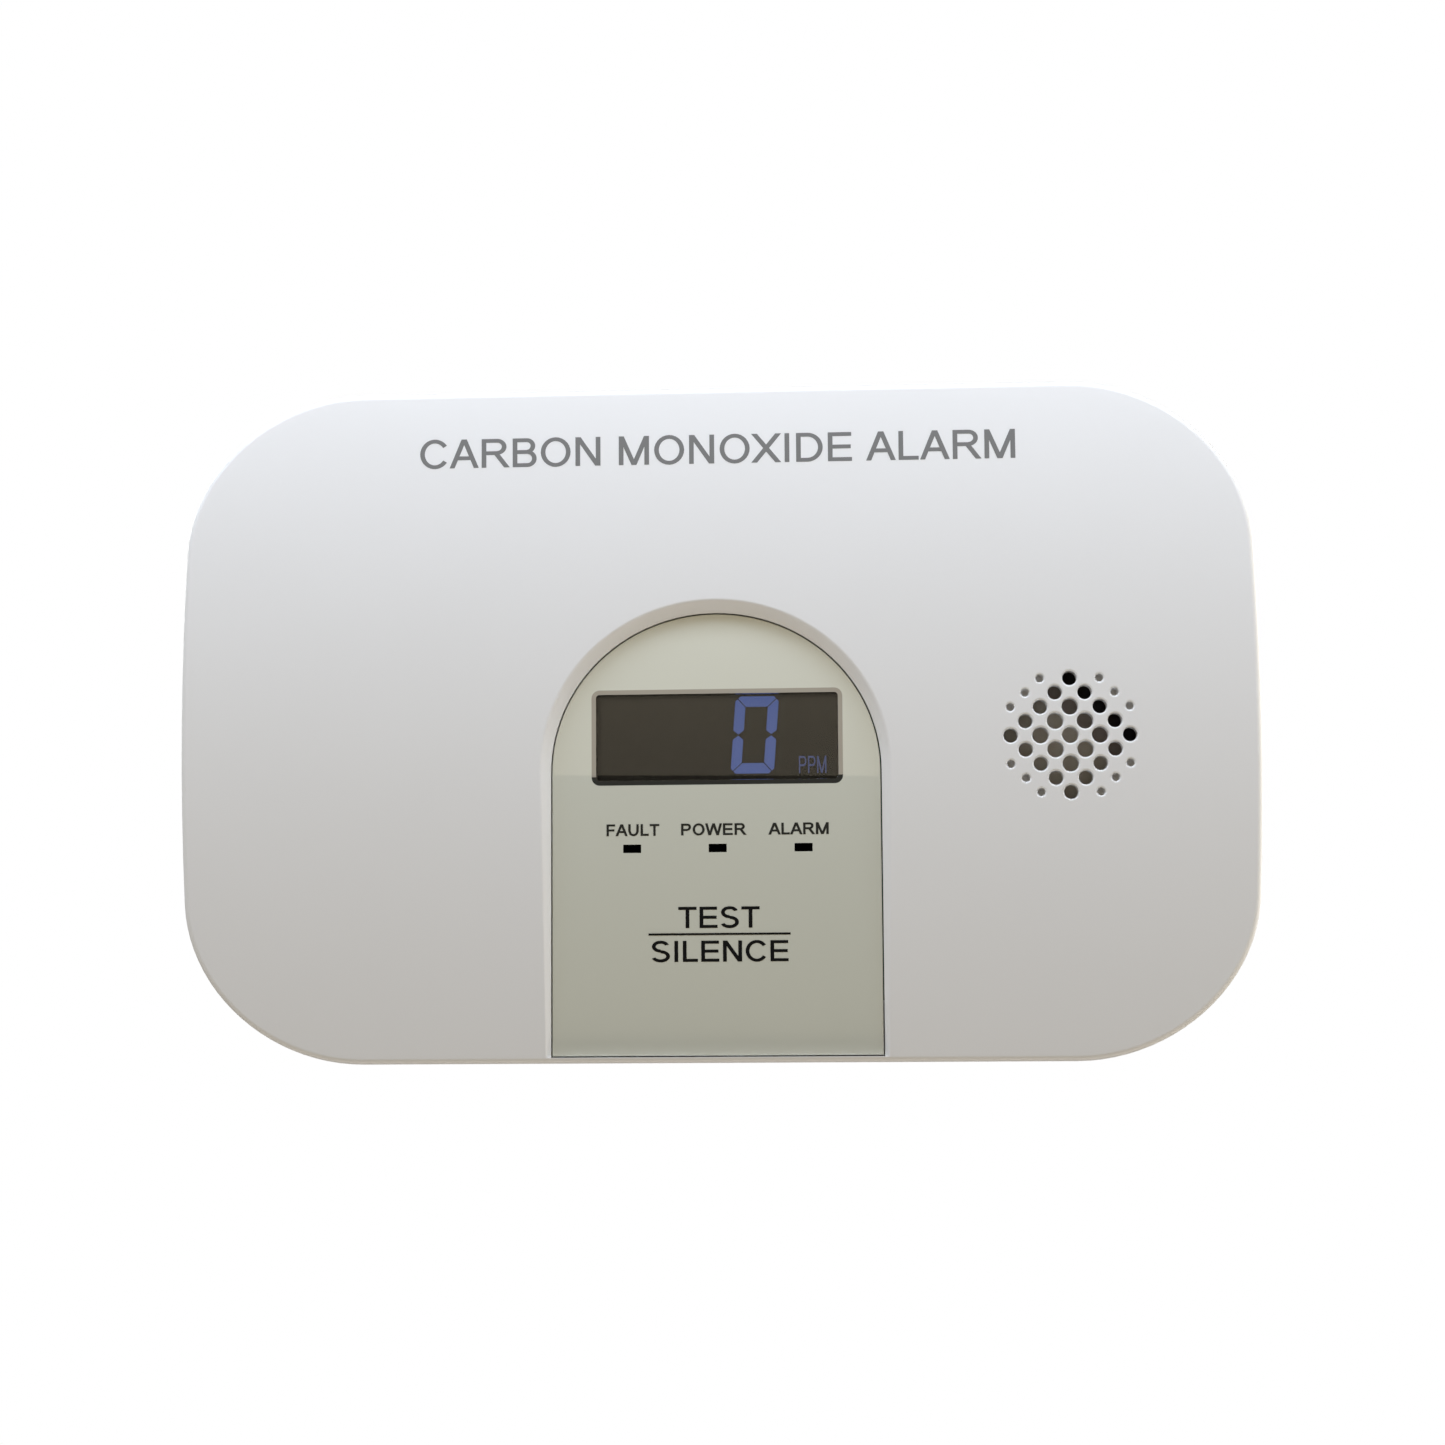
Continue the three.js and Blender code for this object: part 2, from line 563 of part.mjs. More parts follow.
function piezoLead(dz) {
  const [x, z] = [SOUNDER_X, SOUNDER_Z + dz];
  return lead([[x + 3, 29.5, z], [x + 6.4, 29.1, z], [x + LEAD.x, 27.6, z], [x + LEAD.x, BOARD_FRONT + GAP, z]]);
}

// ---------------------------------------------------------------- batteries and contacts

const cellHeight = (index) => BAY_Z + (index - 1) * CELL_PITCH;
const facing = (index) => (index % 2 === 0 ? 1 : -1);

// A dry cell lying along X. Side 1 has its positive end on the right, side -1 on the left.
function cell(index) {
  const side = facing(index);
  const nub = 1.1;
  const points = [[0, 0], [5.6, 0], [5.9, 0.35], [CELL_R, 0.35], [CELL_R, CELL_LENGTH - nub - 0.5],
    [CELL_R - 0.6, CELL_LENGTH - nub], [2.7, CELL_LENGTH - nub], [2.6, CELL_LENGTH], [0, CELL_LENGTH]];
  const profile = points.map(([radius, along]) => new THREE.Vector2(radius, along));
  const body = new THREE.LatheGeometry(profile, 24).rotateZ(-Math.PI / 2).translate(CELL_TAIL, 0, 0);
  if (side < 0) body.rotateZ(Math.PI);
  return toSolid(body.translate(BAY_X, -CELL_DEPTH, cellHeight(index)));
}

// A conical coil spring behind each cell's negative end.
function cellSpring(index) {
  const side = facing(index);
  const { start, length, turns, wide, narrow, wireR } = SPRING;
  const points = [...Array(turns * 12 + 1).keys()].map((i) => {
    const along = i / (turns * 12);
    const [radius, turn] = [wide + (narrow - wide) * along, turns * 2 * Math.PI * along];
    return new THREE.Vector3(start + length * along, radius * Math.cos(turn), radius * Math.sin(turn));
  });
  const path = new THREE.CatmullRomCurve3(points);
  const section = new THREE.Shape().absarc(0, 0, wireR, 0, 2 * Math.PI);
  const coil = new THREE.ExtrudeGeometry(section, { steps: turns * 10, curveSegments: 3, extrudePath: path });
  if (side < 0) coil.rotateZ(Math.PI);
  return toSolid(coil.translate(BAY_X, -CELL_DEPTH, cellHeight(index)));
}

// A sheet contact against one end wall of the bay, over one or two cells, with an optional solder tab.
function contactPlate(side, firstCell, lastCell, hasTab) {
  const { middle, thickness, rear, front, halfHeight, halfTab } = CONTACT;
  const x = BAY_X + side * middle;
  const [x0, x1] = [x - thickness / 2, x + thickness / 2];
  const [bottom, top] = [cellHeight(firstCell) - halfHeight, cellHeight(lastCell) + halfHeight];
  const plate = block(x0, x1, rear, front, bottom, top);
  if (!hasTab) return plate;
  const tabZ = cellHeight(firstCell);
  return plate.add(block(x0, x1, front - FUSE, BOARD_REAR - GAP, tabZ - halfTab, tabZ + halfTab));
}

// The battery door: a plate with a tongue along each side and three finger grooves near its lower edge.
function batteryDoor() {
  const [half, reach] = [DOOR_HALF_WIDTH, DOOR_HALF_WIDTH + DOOR_TONGUE];
  const plate = block(BAY_X - half, BAY_X + half, DOOR_BACK, DOOR_FRONT, -HEIGHT, DOOR_TOP_Z);
  const tongues = block(BAY_X - reach, BAY_X + reach, LIP + GAP, DOOR_FRONT, -HEIGHT, DOOR_TOP_Z);
  const outline = slab(housingOutline(BACK_INSET), -5, 5);
  const { width, height, depth } = FINGER_GROOVES;
  const grooves = rowOf(FINGER_GROOVES).map(
    (z) => centredBlock(BAY_X, z, width, height, -PAST, DOOR_BACK + depth));
  return cut(plate.add(tongues).intersect(outline), ...grooves);
}

// ---------------------------------------------------------------- fasteners

// A pan-head screw seen from behind: head at a depth, shank running forward.
function screw(x, z, headRear, { headR, headHeight, shankR, length }) {
  const front = headRear + headHeight + length;
  const body = turned(x, z, [[0, front], [shankR * 0.4, front], [shankR, front - 1.2], [shankR, headRear + headHeight],
    [headR, headRear + headHeight], [headR, headRear + 0.6], [headR * 0.75, headRear], [0, headRear]], 14);
  const slot = headR * 1.1;
  const [narrow, floor] = [headR * 0.25, headRear + 0.8];
  return cut(body, centredBlock(x, z, slot, narrow, headRear - PAST, floor),
    centredBlock(x, z, narrow, slot, headRear - PAST, floor));
}

// ---------------------------------------------------------------- assembly

const alarm = new THREE.Group();
alarm.add(
  part("front_cover", frontCover(), WHITE_ABS),
  part("back_cover", backCover(), WHITE_ABS),
  part("battery_door", batteryDoor(), WHITE_ABS),
  inPanelFrame(part("panel_lens", panelLens(), PANEL_TINT)),
  inPanelFrame(part("panel_carrier", panelCarrier(), GREY_ABS)),
  part("lcd_glass", centredBlock(LCD.x, LCD.z, LCD.width, LCD.height, LCD.rear, LCD.front), LCD_DARK),
  part("lcd_backlight", underDisplay(BACKLIGHT), DIFFUSER),
  part("lcd_zebra_strip", underDisplay(ZEBRA), RUBBER),
  part("lcd_frame", lcdFrame(), BLACK_PLASTIC),
  part("led_shroud", ledShroud(), BLACK_PLASTIC),
  part("led_fault", ledChip(-LED_PITCH), LED_CLEAR),
  part("led_power", ledChip(0), LED_CLEAR),
  part("led_alarm", ledChip(LED_PITCH), LED_CLEAR),
  part("test_switch_body", switchBody(), BLACK_PLASTIC),
  part("test_switch_plunger", switchPlunger(), GREY_ABS),
  part("circuit_board", circuitBoard(), BOARD_GREEN),
  part("microcontroller", microcontroller(), BLACK_PLASTIC),
  part("boost_inductor", inductor(), FERRITE),
  part("bulk_capacitor", capacitor(24.5, -23, 4, 11), CAPACITOR_SLEEVE),
  part("filter_capacitor", capacitor(9, 22.5, 2.5, 7), CAPACITOR_SLEEVE),
  part("co_sensor_base", sensorBase(), BLACK_PLASTIC),
  part("co_sensor_can", sensorCan(), STEEL),
  part("co_sensor_filter", sensorFilter(), FELT),
  part("sounder_cup", sounderCup(), BLACK_PLASTIC),
  part("sounder_gasket", gasket(), RUBBER),
  part("piezo_plate", disc(SOUNDER_X, SOUNDER_Z, PIEZO.plateR, ...PIEZO.plate, 32), BRASS),
  part("piezo_ceramic", disc(SOUNDER_X, SOUNDER_Z, PIEZO.ceramicR, ...PIEZO.ceramic), CERAMIC),
  part("piezo_lead_red", piezoLead(LEAD.z), WIRE_RED),
  part("piezo_lead_black", piezoLead(-LEAD.z), WIRE_BLACK),
  part("battery_terminal_negative", contactPlate(-1, 0, 0, true), STEEL),
  part("battery_link_left", contactPlate(-1, 1, 2, false), STEEL),
  part("battery_link_right", contactPlate(1, 0, 1, false), STEEL),
  part("battery_terminal_positive", contactPlate(1, 2, 2, true), STEEL),
);
for (let index = 0; index < 3; index++) {
  alarm.add(
    part(`battery_${index + 1}`, cell(index), CELL_JACKET),
    part(`battery_spring_${index + 1}`, cellSpring(index), STEEL),
  );
}
CASE_SCREWS.forEach(([x, z], i) => {
  alarm.add(part(`case_screw_${i + 1}`, screw(x, z, CASE_SCREW.rear, CASE_SCREW), STEEL));
});
BOARD_SCREWS.forEach(([x, z], i) => {
  const headRear = BOARD_REAR - GAP - BOARD_SCREW.headHeight;
  alarm.add(part(`board_screw_${i + 1}`, screw(x, z, headRear, BOARD_SCREW), STEEL));
});

// The origin is midway between the two hanging points, on the wall.
alarm.position.z = -KEYHOLE_Z;
const assembly = new THREE.Group();
assembly.add(alarm);
export default assembly;
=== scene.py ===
"""Looks of a wall-hung carbon monoxide alarm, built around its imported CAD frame. Metres, front towards -Y."""
import json
import math

import bmesh
import bpy
import numpy as np
from mathutils import Matrix, Vector
from mathutils.geometry import delaunay_2d_cdt


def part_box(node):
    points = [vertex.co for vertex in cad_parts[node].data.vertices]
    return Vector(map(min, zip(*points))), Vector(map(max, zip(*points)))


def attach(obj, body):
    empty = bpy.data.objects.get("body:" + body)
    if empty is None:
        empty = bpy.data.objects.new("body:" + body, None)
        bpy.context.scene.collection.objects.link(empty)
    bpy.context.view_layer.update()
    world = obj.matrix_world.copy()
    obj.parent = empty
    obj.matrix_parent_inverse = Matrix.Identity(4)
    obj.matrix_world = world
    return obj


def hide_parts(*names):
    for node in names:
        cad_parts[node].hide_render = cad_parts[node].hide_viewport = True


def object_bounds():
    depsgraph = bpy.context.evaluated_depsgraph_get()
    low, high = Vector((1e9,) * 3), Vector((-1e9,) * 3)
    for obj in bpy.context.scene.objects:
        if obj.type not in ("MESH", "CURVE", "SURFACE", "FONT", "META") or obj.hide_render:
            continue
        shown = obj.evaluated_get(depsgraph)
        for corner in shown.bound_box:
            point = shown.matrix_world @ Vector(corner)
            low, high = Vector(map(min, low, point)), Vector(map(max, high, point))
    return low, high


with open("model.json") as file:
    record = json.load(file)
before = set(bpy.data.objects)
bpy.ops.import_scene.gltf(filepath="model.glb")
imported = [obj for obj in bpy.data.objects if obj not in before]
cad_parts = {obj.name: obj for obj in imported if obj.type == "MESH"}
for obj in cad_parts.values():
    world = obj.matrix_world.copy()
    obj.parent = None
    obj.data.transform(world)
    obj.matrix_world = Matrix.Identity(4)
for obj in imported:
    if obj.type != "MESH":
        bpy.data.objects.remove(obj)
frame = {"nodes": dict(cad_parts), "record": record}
CAD_LOW, CAD_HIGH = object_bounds()
MM = 0.001

# ---------------- sizes, from the frame and the part's drawing

cover_low, cover_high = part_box("front_cover")
CENTRE_Z = (cover_low.z + cover_high.z) / 2
HALF_W = (cover_high.x - cover_low.x) / 2
HALF_H = (cover_high.z - cover_low.z) / 2
FACE_Y = cover_low.y
PARTING_Y = cover_high.y
CORNER_RX = 19.5 * MM
CORNER_RZ = 17.8 * MM
SIDE_BOW = 0.03
EDGE_R = 0.7 * MM
WALL = 2.2 * MM
FACE_WALL = 2 * MM
CROWN = 0.35 * MM

lens_low, lens_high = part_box("panel_lens")
ARCH_HALF = (lens_high.x - lens_low.x) / 2
ARCH_TOP = lens_high.z - CENTRE_Z
ARCH_RISE = 17.5 * MM
ARCH_SPRING = ARCH_TOP - ARCH_RISE
ARCH_BOTTOM = lens_low.z - CENTRE_Z
SINK_TOP = 1.7 * MM
SINK_BOTTOM = 0.7 * MM
SEAM = 0.13 * MM
LENS_THICKNESS = 1.2 * MM


def centre_of(node):
    low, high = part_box(node)
    return (low + high) / 2 - Vector((0, 0, CENTRE_Z))


# ---------------- materials

def principled(name, color, roughness, **sockets):
    material = bpy.data.materials.new(name)
    material.use_nodes = True
    shader = material.node_tree.nodes["Principled BSDF"]
    shader.inputs["Base Color"].default_value = (*color, 1)
    shader.inputs["Roughness"].default_value = roughness
    for socket, value in sockets.items():
        shader.inputs[socket.replace("_", " ")].default_value = value
    return material


GRAIN_DEPTH = 0.2
MOTTLE_SIZE = 40


def noise(tree, place, size, detail):
    made = tree.nodes.new("ShaderNodeTexNoise")
    made.inputs["Scale"].default_value = 1 / size
    made.inputs["Detail"].default_value = detail
    tree.links.new(place.outputs["Object"], made.inputs["Vector"])
    return made


def vary_color(tree, shader, broad, share):
    color = tuple(shader.inputs["Base Color"].default_value)[:3]
    mix = tree.nodes.new("ShaderNodeMix")
    mix.data_type = "RGBA"
    mix.inputs["A"].default_value = tuple(c * (1 - share) for c in color) + (1,)
    mix.inputs["B"].default_value = tuple(min(1, c * (1 + share)) for c in color) + (1,)
    tree.links.new(broad.outputs["Fac"], mix.inputs["Factor"])
    tree.links.new(mix.outputs["Result"], shader.inputs["Base Color"])


def vary_roughness(tree, shader, broad, share):
    base = shader.inputs["Roughness"].default_value
    spread = tree.nodes.new("ShaderNodeMapRange")
    spread.inputs["To Min"].default_value = base * (1 - share)
    spread.inputs["To Max"].default_value = base * (1 + share)
    tree.links.new(broad.outputs["Fac"], spread.inputs["Value"])
    tree.links.new(spread.outputs["Result"], shader.inputs["Roughness"])


def grain(material, size, bump, tint=0.0, rough=0.0):
    """Moulded or printed grain at a real scale: fine bump, and slight variation of colour and roughness."""
    tree = material.node_tree
    shader = tree.nodes["Principled BSDF"]
    place = tree.nodes.new("ShaderNodeTexCoord")
    bumper = tree.nodes.new("ShaderNodeBump")
    bumper.inputs["Strength"].default_value = bump
    bumper.inputs["Distance"].default_value = size * GRAIN_DEPTH
    tree.links.new(noise(tree, place, size, 3).outputs["Fac"], bumper.inputs["Height"])
    tree.links.new(bumper.outputs["Normal"], shader.inputs["Normal"])
    if tint or rough:
        broad = noise(tree, place, size * MOTTLE_SIZE, 4)
    if tint:
        vary_color(tree, shader, broad, tint)
    if rough:
        vary_roughness(tree, shader, broad, rough)
    return material


WHITE = grain(principled("white_abs", (0.86, 0.86, 0.865), 0.42), 0.25 * MM, 0.08, 0.008, 0.08)
GLOSS = {"Coat_Weight": 1.0, "Coat_Roughness": 0.004, "Coat_IOR": 1.8}
MATT = {"Specular_IOR_Level": 0.0}
PRINT = grain(principled("panel_print", (0.69, 0.70, 0.61), 0.5, **GLOSS), 0.5 * MM, 0.0, 0.01, 0.0)
PRINT_DARK = principled("panel_window_mask", (0.0005, 0.0005, 0.0005), 0.9, **MATT)
# The window's rim: its pale print, and a near-black copy of it that is painted shade on the rim's lower part.
RIM_LIGHT = principled("window_rim", (0.36, 0.33, 0.28), 0.5, **GLOSS)
RIM_PAINTED_SHADE = principled("window_rim_shaded", (0.04, 0.04, 0.035), 0.5, **MATT)
WINDOW = principled("window_clear", (1, 1, 1), 0.0, Transmission_Weight=1.0, IOR=1.38)
INK = principled("panel_ink", (0.012, 0.012, 0.012), 0.6, **MATT)
INK_THIN = principled("panel_ink_small", (0.035, 0.035, 0.03), 0.6, **MATT)
HEADER_INK = principled("header_ink", (0.19, 0.19, 0.19), 0.5)
DISPLAY = principled("display_cell", (0.003, 0.003, 0.0025), 0.15)
SEGMENT = principled("display_segment", (0.02, 0.02, 0.05), 0.5, Emission_Strength=1.0,
                     Emission_Color=(0.040, 0.075, 0.23, 1))
SEGMENT_DIM = principled("display_unit", (0.02, 0.02, 0.05), 0.5, Emission_Strength=1.0,
                         Emission_Color=(0.022, 0.038, 0.115, 1))
BLACK = grain(principled("black_plastic", (0.02, 0.02, 0.021), 0.5), 0.3 * MM, 0.1, 0.0, 0.1)
RUBBER = grain(principled("black_rubber", (0.025, 0.025, 0.026), 0.8), 0.3 * MM, 0.2)
GREY = grain(principled("carrier_grey", (0.45, 0.46, 0.40), 0.5), 0.3 * MM, 0.08, 0.01)
DIFFUSER = grain(principled("diffuser", (0.80, 0.84, 0.92), 0.4), 0.3 * MM, 0.05)
LED_RESIN = grain(principled("led_resin", (0.85, 0.88, 0.76), 0.15, Coat_Weight=0.5), 0.4 * MM, 0.03)
BOARD = grain(principled("solder_mask", (0.02, 0.13, 0.06), 0.35, Coat_Weight=0.6), 0.6 * MM, 0.06, 0.05)
STEEL = grain(principled("plated_steel", (0.62, 0.62, 0.61), 0.3, Metallic=1.0), 0.2 * MM, 0.06, 0.03, 0.2)
BRASS = grain(principled("dull_brass", (0.95, 0.88, 0.78), 0.6), 0.4 * MM, 0.08, 0.08, 0.1)
# Painted shade for the sounder's plate: a half-dark band and a black part, standing for the shade seen through
# the grille's upper right holes.
PLATE_HALF_SHADE = grain(principled("plate_painted_half_shade", (0.50, 0.44, 0.41), 0.5), 0.4 * MM, 0.08, 0.08, 0.1)
PLATE_SHADE = grain(principled("plate_painted_shade", (0.03, 0.025, 0.03), 0.6), 0.4 * MM, 0.08, 0.0, 0.1)
CERAMIC = grain(principled("ceramic", (0.62, 0.60, 0.54), 0.5), 0.3 * MM, 0.05, 0.02)
FELT = grain(principled("filter_felt", (0.80, 0.79, 0.75), 0.95), 0.15 * MM, 0.5, 0.03)
CELL_GOLD = grain(principled("cell_band", (0.50, 0.33, 0.14), 0.28, Metallic=0.9), 0.4 * MM, 0.03, 0.03, 0.1)
FERRITE = grain(principled("ferrite", (0.06, 0.05, 0.05), 0.6), 0.3 * MM, 0.2)
SLEEVE = grain(principled("capacitor_sleeve", (0.03, 0.06, 0.15), 0.3, Coat_Weight=0.3), 0.5 * MM, 0.03)
JACKET = grain(principled("cell_jacket", (0.05, 0.20, 0.30), 0.25, Coat_Weight=0.5), 0.6 * MM, 0.02, 0.02)
RED_WIRE = grain(principled("red_insulation", (0.50, 0.03, 0.02), 0.4), 0.3 * MM, 0.03)
BLACK_WIRE = grain(principled("black_insulation", (0.02, 0.02, 0.02), 0.4), 0.3 * MM, 0.03)

SLOT_LOOKS = {
    "shell_white": WHITE, "panel_clear": PRINT, "carrier_grey": GREY, "lcd_dark": DISPLAY,
    "diffuser": DIFFUSER, "black_plastic": BLACK, "rubber_black": RUBBER, "led_clear": LED_RESIN,
    "board_green": BOARD, "steel": STEEL, "brass": BRASS, "ceramic": CERAMIC, "felt_white": FELT,
    "ferrite": FERRITE, "capacitor_sleeve": SLEEVE, "cell_jacket": JACKET, "wire_red": RED_WIRE,
    "wire_black": BLACK_WIRE,
}


def dress_cad_nodes():
    for entry in frame["record"]["subparts"]:
        node = frame["nodes"][entry["node"]]
        node.data.materials.clear()
        node.data.materials.append(SLOT_LOOKS[entry["material_slot"]])


# ---------------- mesh helpers

WELD, WELD_FINE = 1e-6, 1e-8
SAME = 1e-9


def make_piece(name, verts, faces, materials, body, slot, replaced=(), tints=None, sharp=35, weld=WELD):
    """A mesh piece, welded, facing out, smooth with sharp edges kept, that rides on a body."""
    mesh = bpy.data.meshes.new(name)
    mesh.from_pydata([tuple(v) for v in verts], [], faces)
    for material in materials:
        mesh.materials.append(material)
    if tints:
        mesh.polygons.foreach_set("material_index", tints)
    bm = bmesh.new()
    bm.from_mesh(mesh)
    bmesh.ops.remove_doubles(bm, verts=bm.verts, dist=weld)
    bmesh.ops.dissolve_degenerate(bm, edges=bm.edges, dist=WELD_FINE)
    bmesh.ops.recalc_face_normals(bm, faces=bm.faces)
    bm.to_mesh(mesh)
    bm.free()
    mesh.shade_smooth()
    mesh.set_sharp_from_angle(angle=math.radians(sharp))
    obj = bpy.data.objects.new(name, mesh)
    bpy.context.scene.collection.objects.link(obj)
    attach(obj, body)
    if replaced:
        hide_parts(*replaced)
    weights = obj.modifiers.new("face_weights", "WEIGHTED_NORMAL")
    weights.keep_sharp = True


def loft(rings, close_ends=(False, False)):
    """Quads between closed rings of equal length, with flat caps where asked."""
    count = len(rings[0])
    verts = [p for ring in rings for p in ring]
    faces = []
    for r in range(len(rings) - 1):
        for i in range(count):
            j = (i + 1) % count
            faces.append((r * count + i, r * count + j, (r + 1) * count + j, (r + 1) * count + i))
    if close_ends[0]:
        faces.append(tuple(range(count)))
    if close_ends[1]:
        faces.append(tuple(reversed(range((len(rings) - 1) * count, len(rings) * count))))
    return verts, faces


def merge(*parts):
    """Joins several (verts, faces) lists into one."""
    verts, faces = [], []
    for part_verts, part_faces in parts:
        base = len(verts)
        verts += part_verts
        faces += [tuple(i + base for i in face) for face in part_faces]
    return verts, faces


def fill(lines, spots, keep):
    """Triangles over a flat region. lines are (points, closed) in x and z, spots are loose points, and
    keep says whether a triangle's middle belongs to the region."""
    points, edges = [], []
    for line, closed in lines:
        base = len(points)
        points += line
        edges += [(base + i, base + i + 1) for i in range(len(line) - 1)]
        if closed:
            edges.append((base + len(line) - 1, base))
    points += spots
    if not points:
        return [], []
    made = delaunay_2d_cdt([Vector(p) for p in points], edges, [], 0, SAME)
    flat, tris = made[0], made[2]
    kept = []
    for tri in tris:
        middle = sum((flat[i] for i in tri), Vector((0, 0))) / len(tri)
        if keep(middle.x, middle.y):
            kept.append(tuple(tri))
    return [(p.x, p.y) for p in flat], kept


def drop_loose(verts, faces):
    """The same faces, without the points that none of them uses."""
    used = sorted({i for face in faces for i in face})
    index = {old: new for new, old in enumerate(used)}
    return [verts[i] for i in used], [tuple(index[i] for i in face) for face in faces]


def circle(x, z, radius, count=28):
    turns = [2 * math.pi * i / count for i in range(count)]
    return [(x + radius * math.cos(turn), z + radius * math.sin(turn)) for turn in turns]


def rounded_rectangle(x, z, width, height, radius, steps=6):
    points = []
    for corner, (sx, sz) in enumerate([(1, 1), (-1, 1), (-1, -1), (1, -1)]):
        for i in range(steps + 1):
            turn = math.pi / 2 * (corner + i / steps)
            points.append((x + sx * (width / 2 - radius) + radius * math.cos(turn),
                           z + sz * (height / 2 - radius) + radius * math.sin(turn)))
    return points


def inside(x, z, ring):
    """Whether a point lies inside a closed ring of (x, z) points."""
    found = False
    for (x0, z0), (x1, z1) in zip(ring, ring[1:] + ring[:1]):
        if (z0 > z) != (z1 > z) and x < (x1 - x0) * (z - z0) / (z1 - z0) + x0:
            found = not found
    return found


def at(points, y):
    """Puts (x, z) points, measured from the housing's centre, at y, a number or a function of (x, z)."""
    return [(x, y(x, z) if callable(y) else y, z + CENTRE_Z) for x, z in points]


# ---------------- outlines and surfaces

CORNER_STEPS, SIDE_STEPS, FLAT_STEPS = 22, 8, 26


def housing_outline(inset):
    """The housing from the front, starting at the middle of its bottom edge and running anticlockwise."""
    half_w, half_h = HALF_W - inset, HALF_H - inset
    rx, rz = CORNER_RX - inset, CORNER_RZ - inset
    cx, cz = half_w - rx, half_h - rz
    flat = [(cx * i / FLAT_STEPS, -half_h) for i in range(1, FLAT_STEPS)]
    corner = [(cx + rx * math.sin(t), -cz - rz * math.cos(t))
              for t in (math.pi / 2 * i / CORNER_STEPS for i in range(CORNER_STEPS + 1))]
    side = [(half_w, -cz + 2 * cz * i / SIDE_STEPS) for i in range(1, SIDE_STEPS)]
    right = flat + corner + side + [(x, -z) for x, z in reversed(flat + corner)]
    ring = [(0, -half_h)] + right + [(0, half_h)] + [(-x, z) for x, z in reversed(right)]
    return [(x * (1 - SIDE_BOW * (z / HALF_H) ** 2), z) for x, z in ring]


EDGE_LINE = np.array(housing_outline(0) + housing_outline(0)[:1])


def inset_at(x, z):
    """Distance in from the housing's outline."""
    a, b = EDGE_LINE[:-1], EDGE_LINE[1:]
    p, d = np.array((x, z)), b - a
    t = np.clip(((p - a) * d).sum(1) / (d ** 2).sum(1), 0, 1)
    return float(np.sqrt(((a + t[:, None] * d - p) ** 2).sum(1)).min())


def crown(x, z):
    return FACE_Y + CROWN * ((x / HALF_W) ** 2 + (z / HALF_H) ** 2) / 2


def face_y(x, z):
    """The cover's front surface: gently crowned, rolling over at its edge."""
    inset = inset_at(x, z)
    if inset >= EDGE_R:
        return crown(x, z)
    return crown(x, z) + EDGE_R - math.sqrt(max(0, EDGE_R ** 2 - (EDGE_R - inset) ** 2))


def panel_y(x, z):
    """The test panel's front surface, a plane that is deeper at its top."""
    slope = (SINK_TOP - SINK_BOTTOM) / (ARCH_TOP - ARCH_BOTTOM)
    return FACE_Y + SINK_TOP - slope * (ARCH_TOP - z)


def panel_at(depth):
    return lambda x, z: panel_y(x, z) + depth


def sink(z):
    return panel_y(0, z) - FACE_Y


EDGE_TURNS = [math.radians(v) for v in (0, 12, 24, 36, 48, 60, 72)]


def edge_inset(turn):
    return EDGE_R * (1 - math.sin(turn))


SEAM_BOTTOM = ARCH_BOTTOM - 0.13 * MM
EDGE_LEVELS = [z for z in (-HALF_H + edge_inset(turn) for turn in EDGE_TURNS) if z > SEAM_BOTTOM + 0.02 * MM]
ARCH_STEPS, LEG_STEPS, BASE_STEPS = 56, 14, 16


def arch(grow, bottom, share=0.0):
    """The panel's arch, grown by an amount plus a share of the local sink, running anticlockwise from its
    bottom right. Its sides have a point wherever a ring of the housing's rolled edge meets them."""
    levels = [SEAM_BOTTOM] + sorted(EDGE_LEVELS)
    levels += [levels[-1] + (ARCH_SPRING - levels[-1]) * i / LEG_STEPS for i in range(1, LEG_STEPS)]
    shrink = (ARCH_SPRING - bottom) / (ARCH_SPRING - SEAM_BOTTOM)
    heights = [ARCH_SPRING - (ARCH_SPRING - z) * shrink for z in levels]
    right = [(ARCH_HALF + grow + share * sink(z), z) for z in heights]
    top = []
    for i in range(ARCH_STEPS + 1):
        turn = math.pi * i / ARCH_STEPS
        extra = grow + share * sink(ARCH_SPRING + ARCH_RISE * math.sin(turn))
        x, rise = (ARCH_HALF + extra) * math.cos(turn), (ARCH_RISE + extra) * math.sin(turn)
        top.append((x, ARCH_SPRING + rise))
    left = [(-x, z) for x, z in reversed(right)]
    base = [(right[0][0] * (2 * i / BASE_STEPS - 1), bottom) for i in range(1, BASE_STEPS)]
    return right + top + left + base


# ---------------- front cover

GRILLE_X, GRILLE_Z = centre_of("sounder_cup").x, centre_of("sounder_cup").z
PITCH_X, PITCH_Z = 1.63 * MM, 1.565 * MM
HOLE_SIZES = {0: 0.9 * MM, 2: 0.9 * MM, 4: 0.785 * MM}
DIMPLE_R = 0.43 * MM
DIMPLE_DEPTH = 1.5 * MM
DIMPLE_FLOOR = ((0.85, 0.1 * MM), (0.5, 0))
RIM_ROUND = 0.2 * MM
RIM_MID = 0.3
GRILLE_CLEAR = 9 * MM
FLARE = 0.72
RIM_SOFT = 0.22
RIM_TURN, RIM_STEPS = math.radians(45), 6
RIM_SLOPE = [(0.5, 0.5), (0.08, 0.92), (0, 1.0)]
FACE_STEP, FACE_COLUMNS, FACE_ROWS = 3.2 * MM, 18, 12
LAST_TURNS = (math.radians(81), math.radians(90))
PARTING_BEVEL = 0.25 * MM
INNER_Y = FACE_Y + FACE_WALL
INNER_BOTTOM = -HALF_H + WALL + 0.5 * MM
INNER_WALL = housing_outline(WALL)
WELL_DEPTH, WELL_STEP = 2.7 * MM, 0.2 * MM
OPENING = arch(SEAM, SEAM_BOTTOM, FLARE * (1 + RIM_SOFT))
OPENING_CLEAR = arch(SEAM + 0.8 * MM, SEAM_BOTTOM, FLARE * (1 + RIM_SOFT))
COLLAR = arch(SEAM + 1.6 * MM, INNER_BOTTOM)
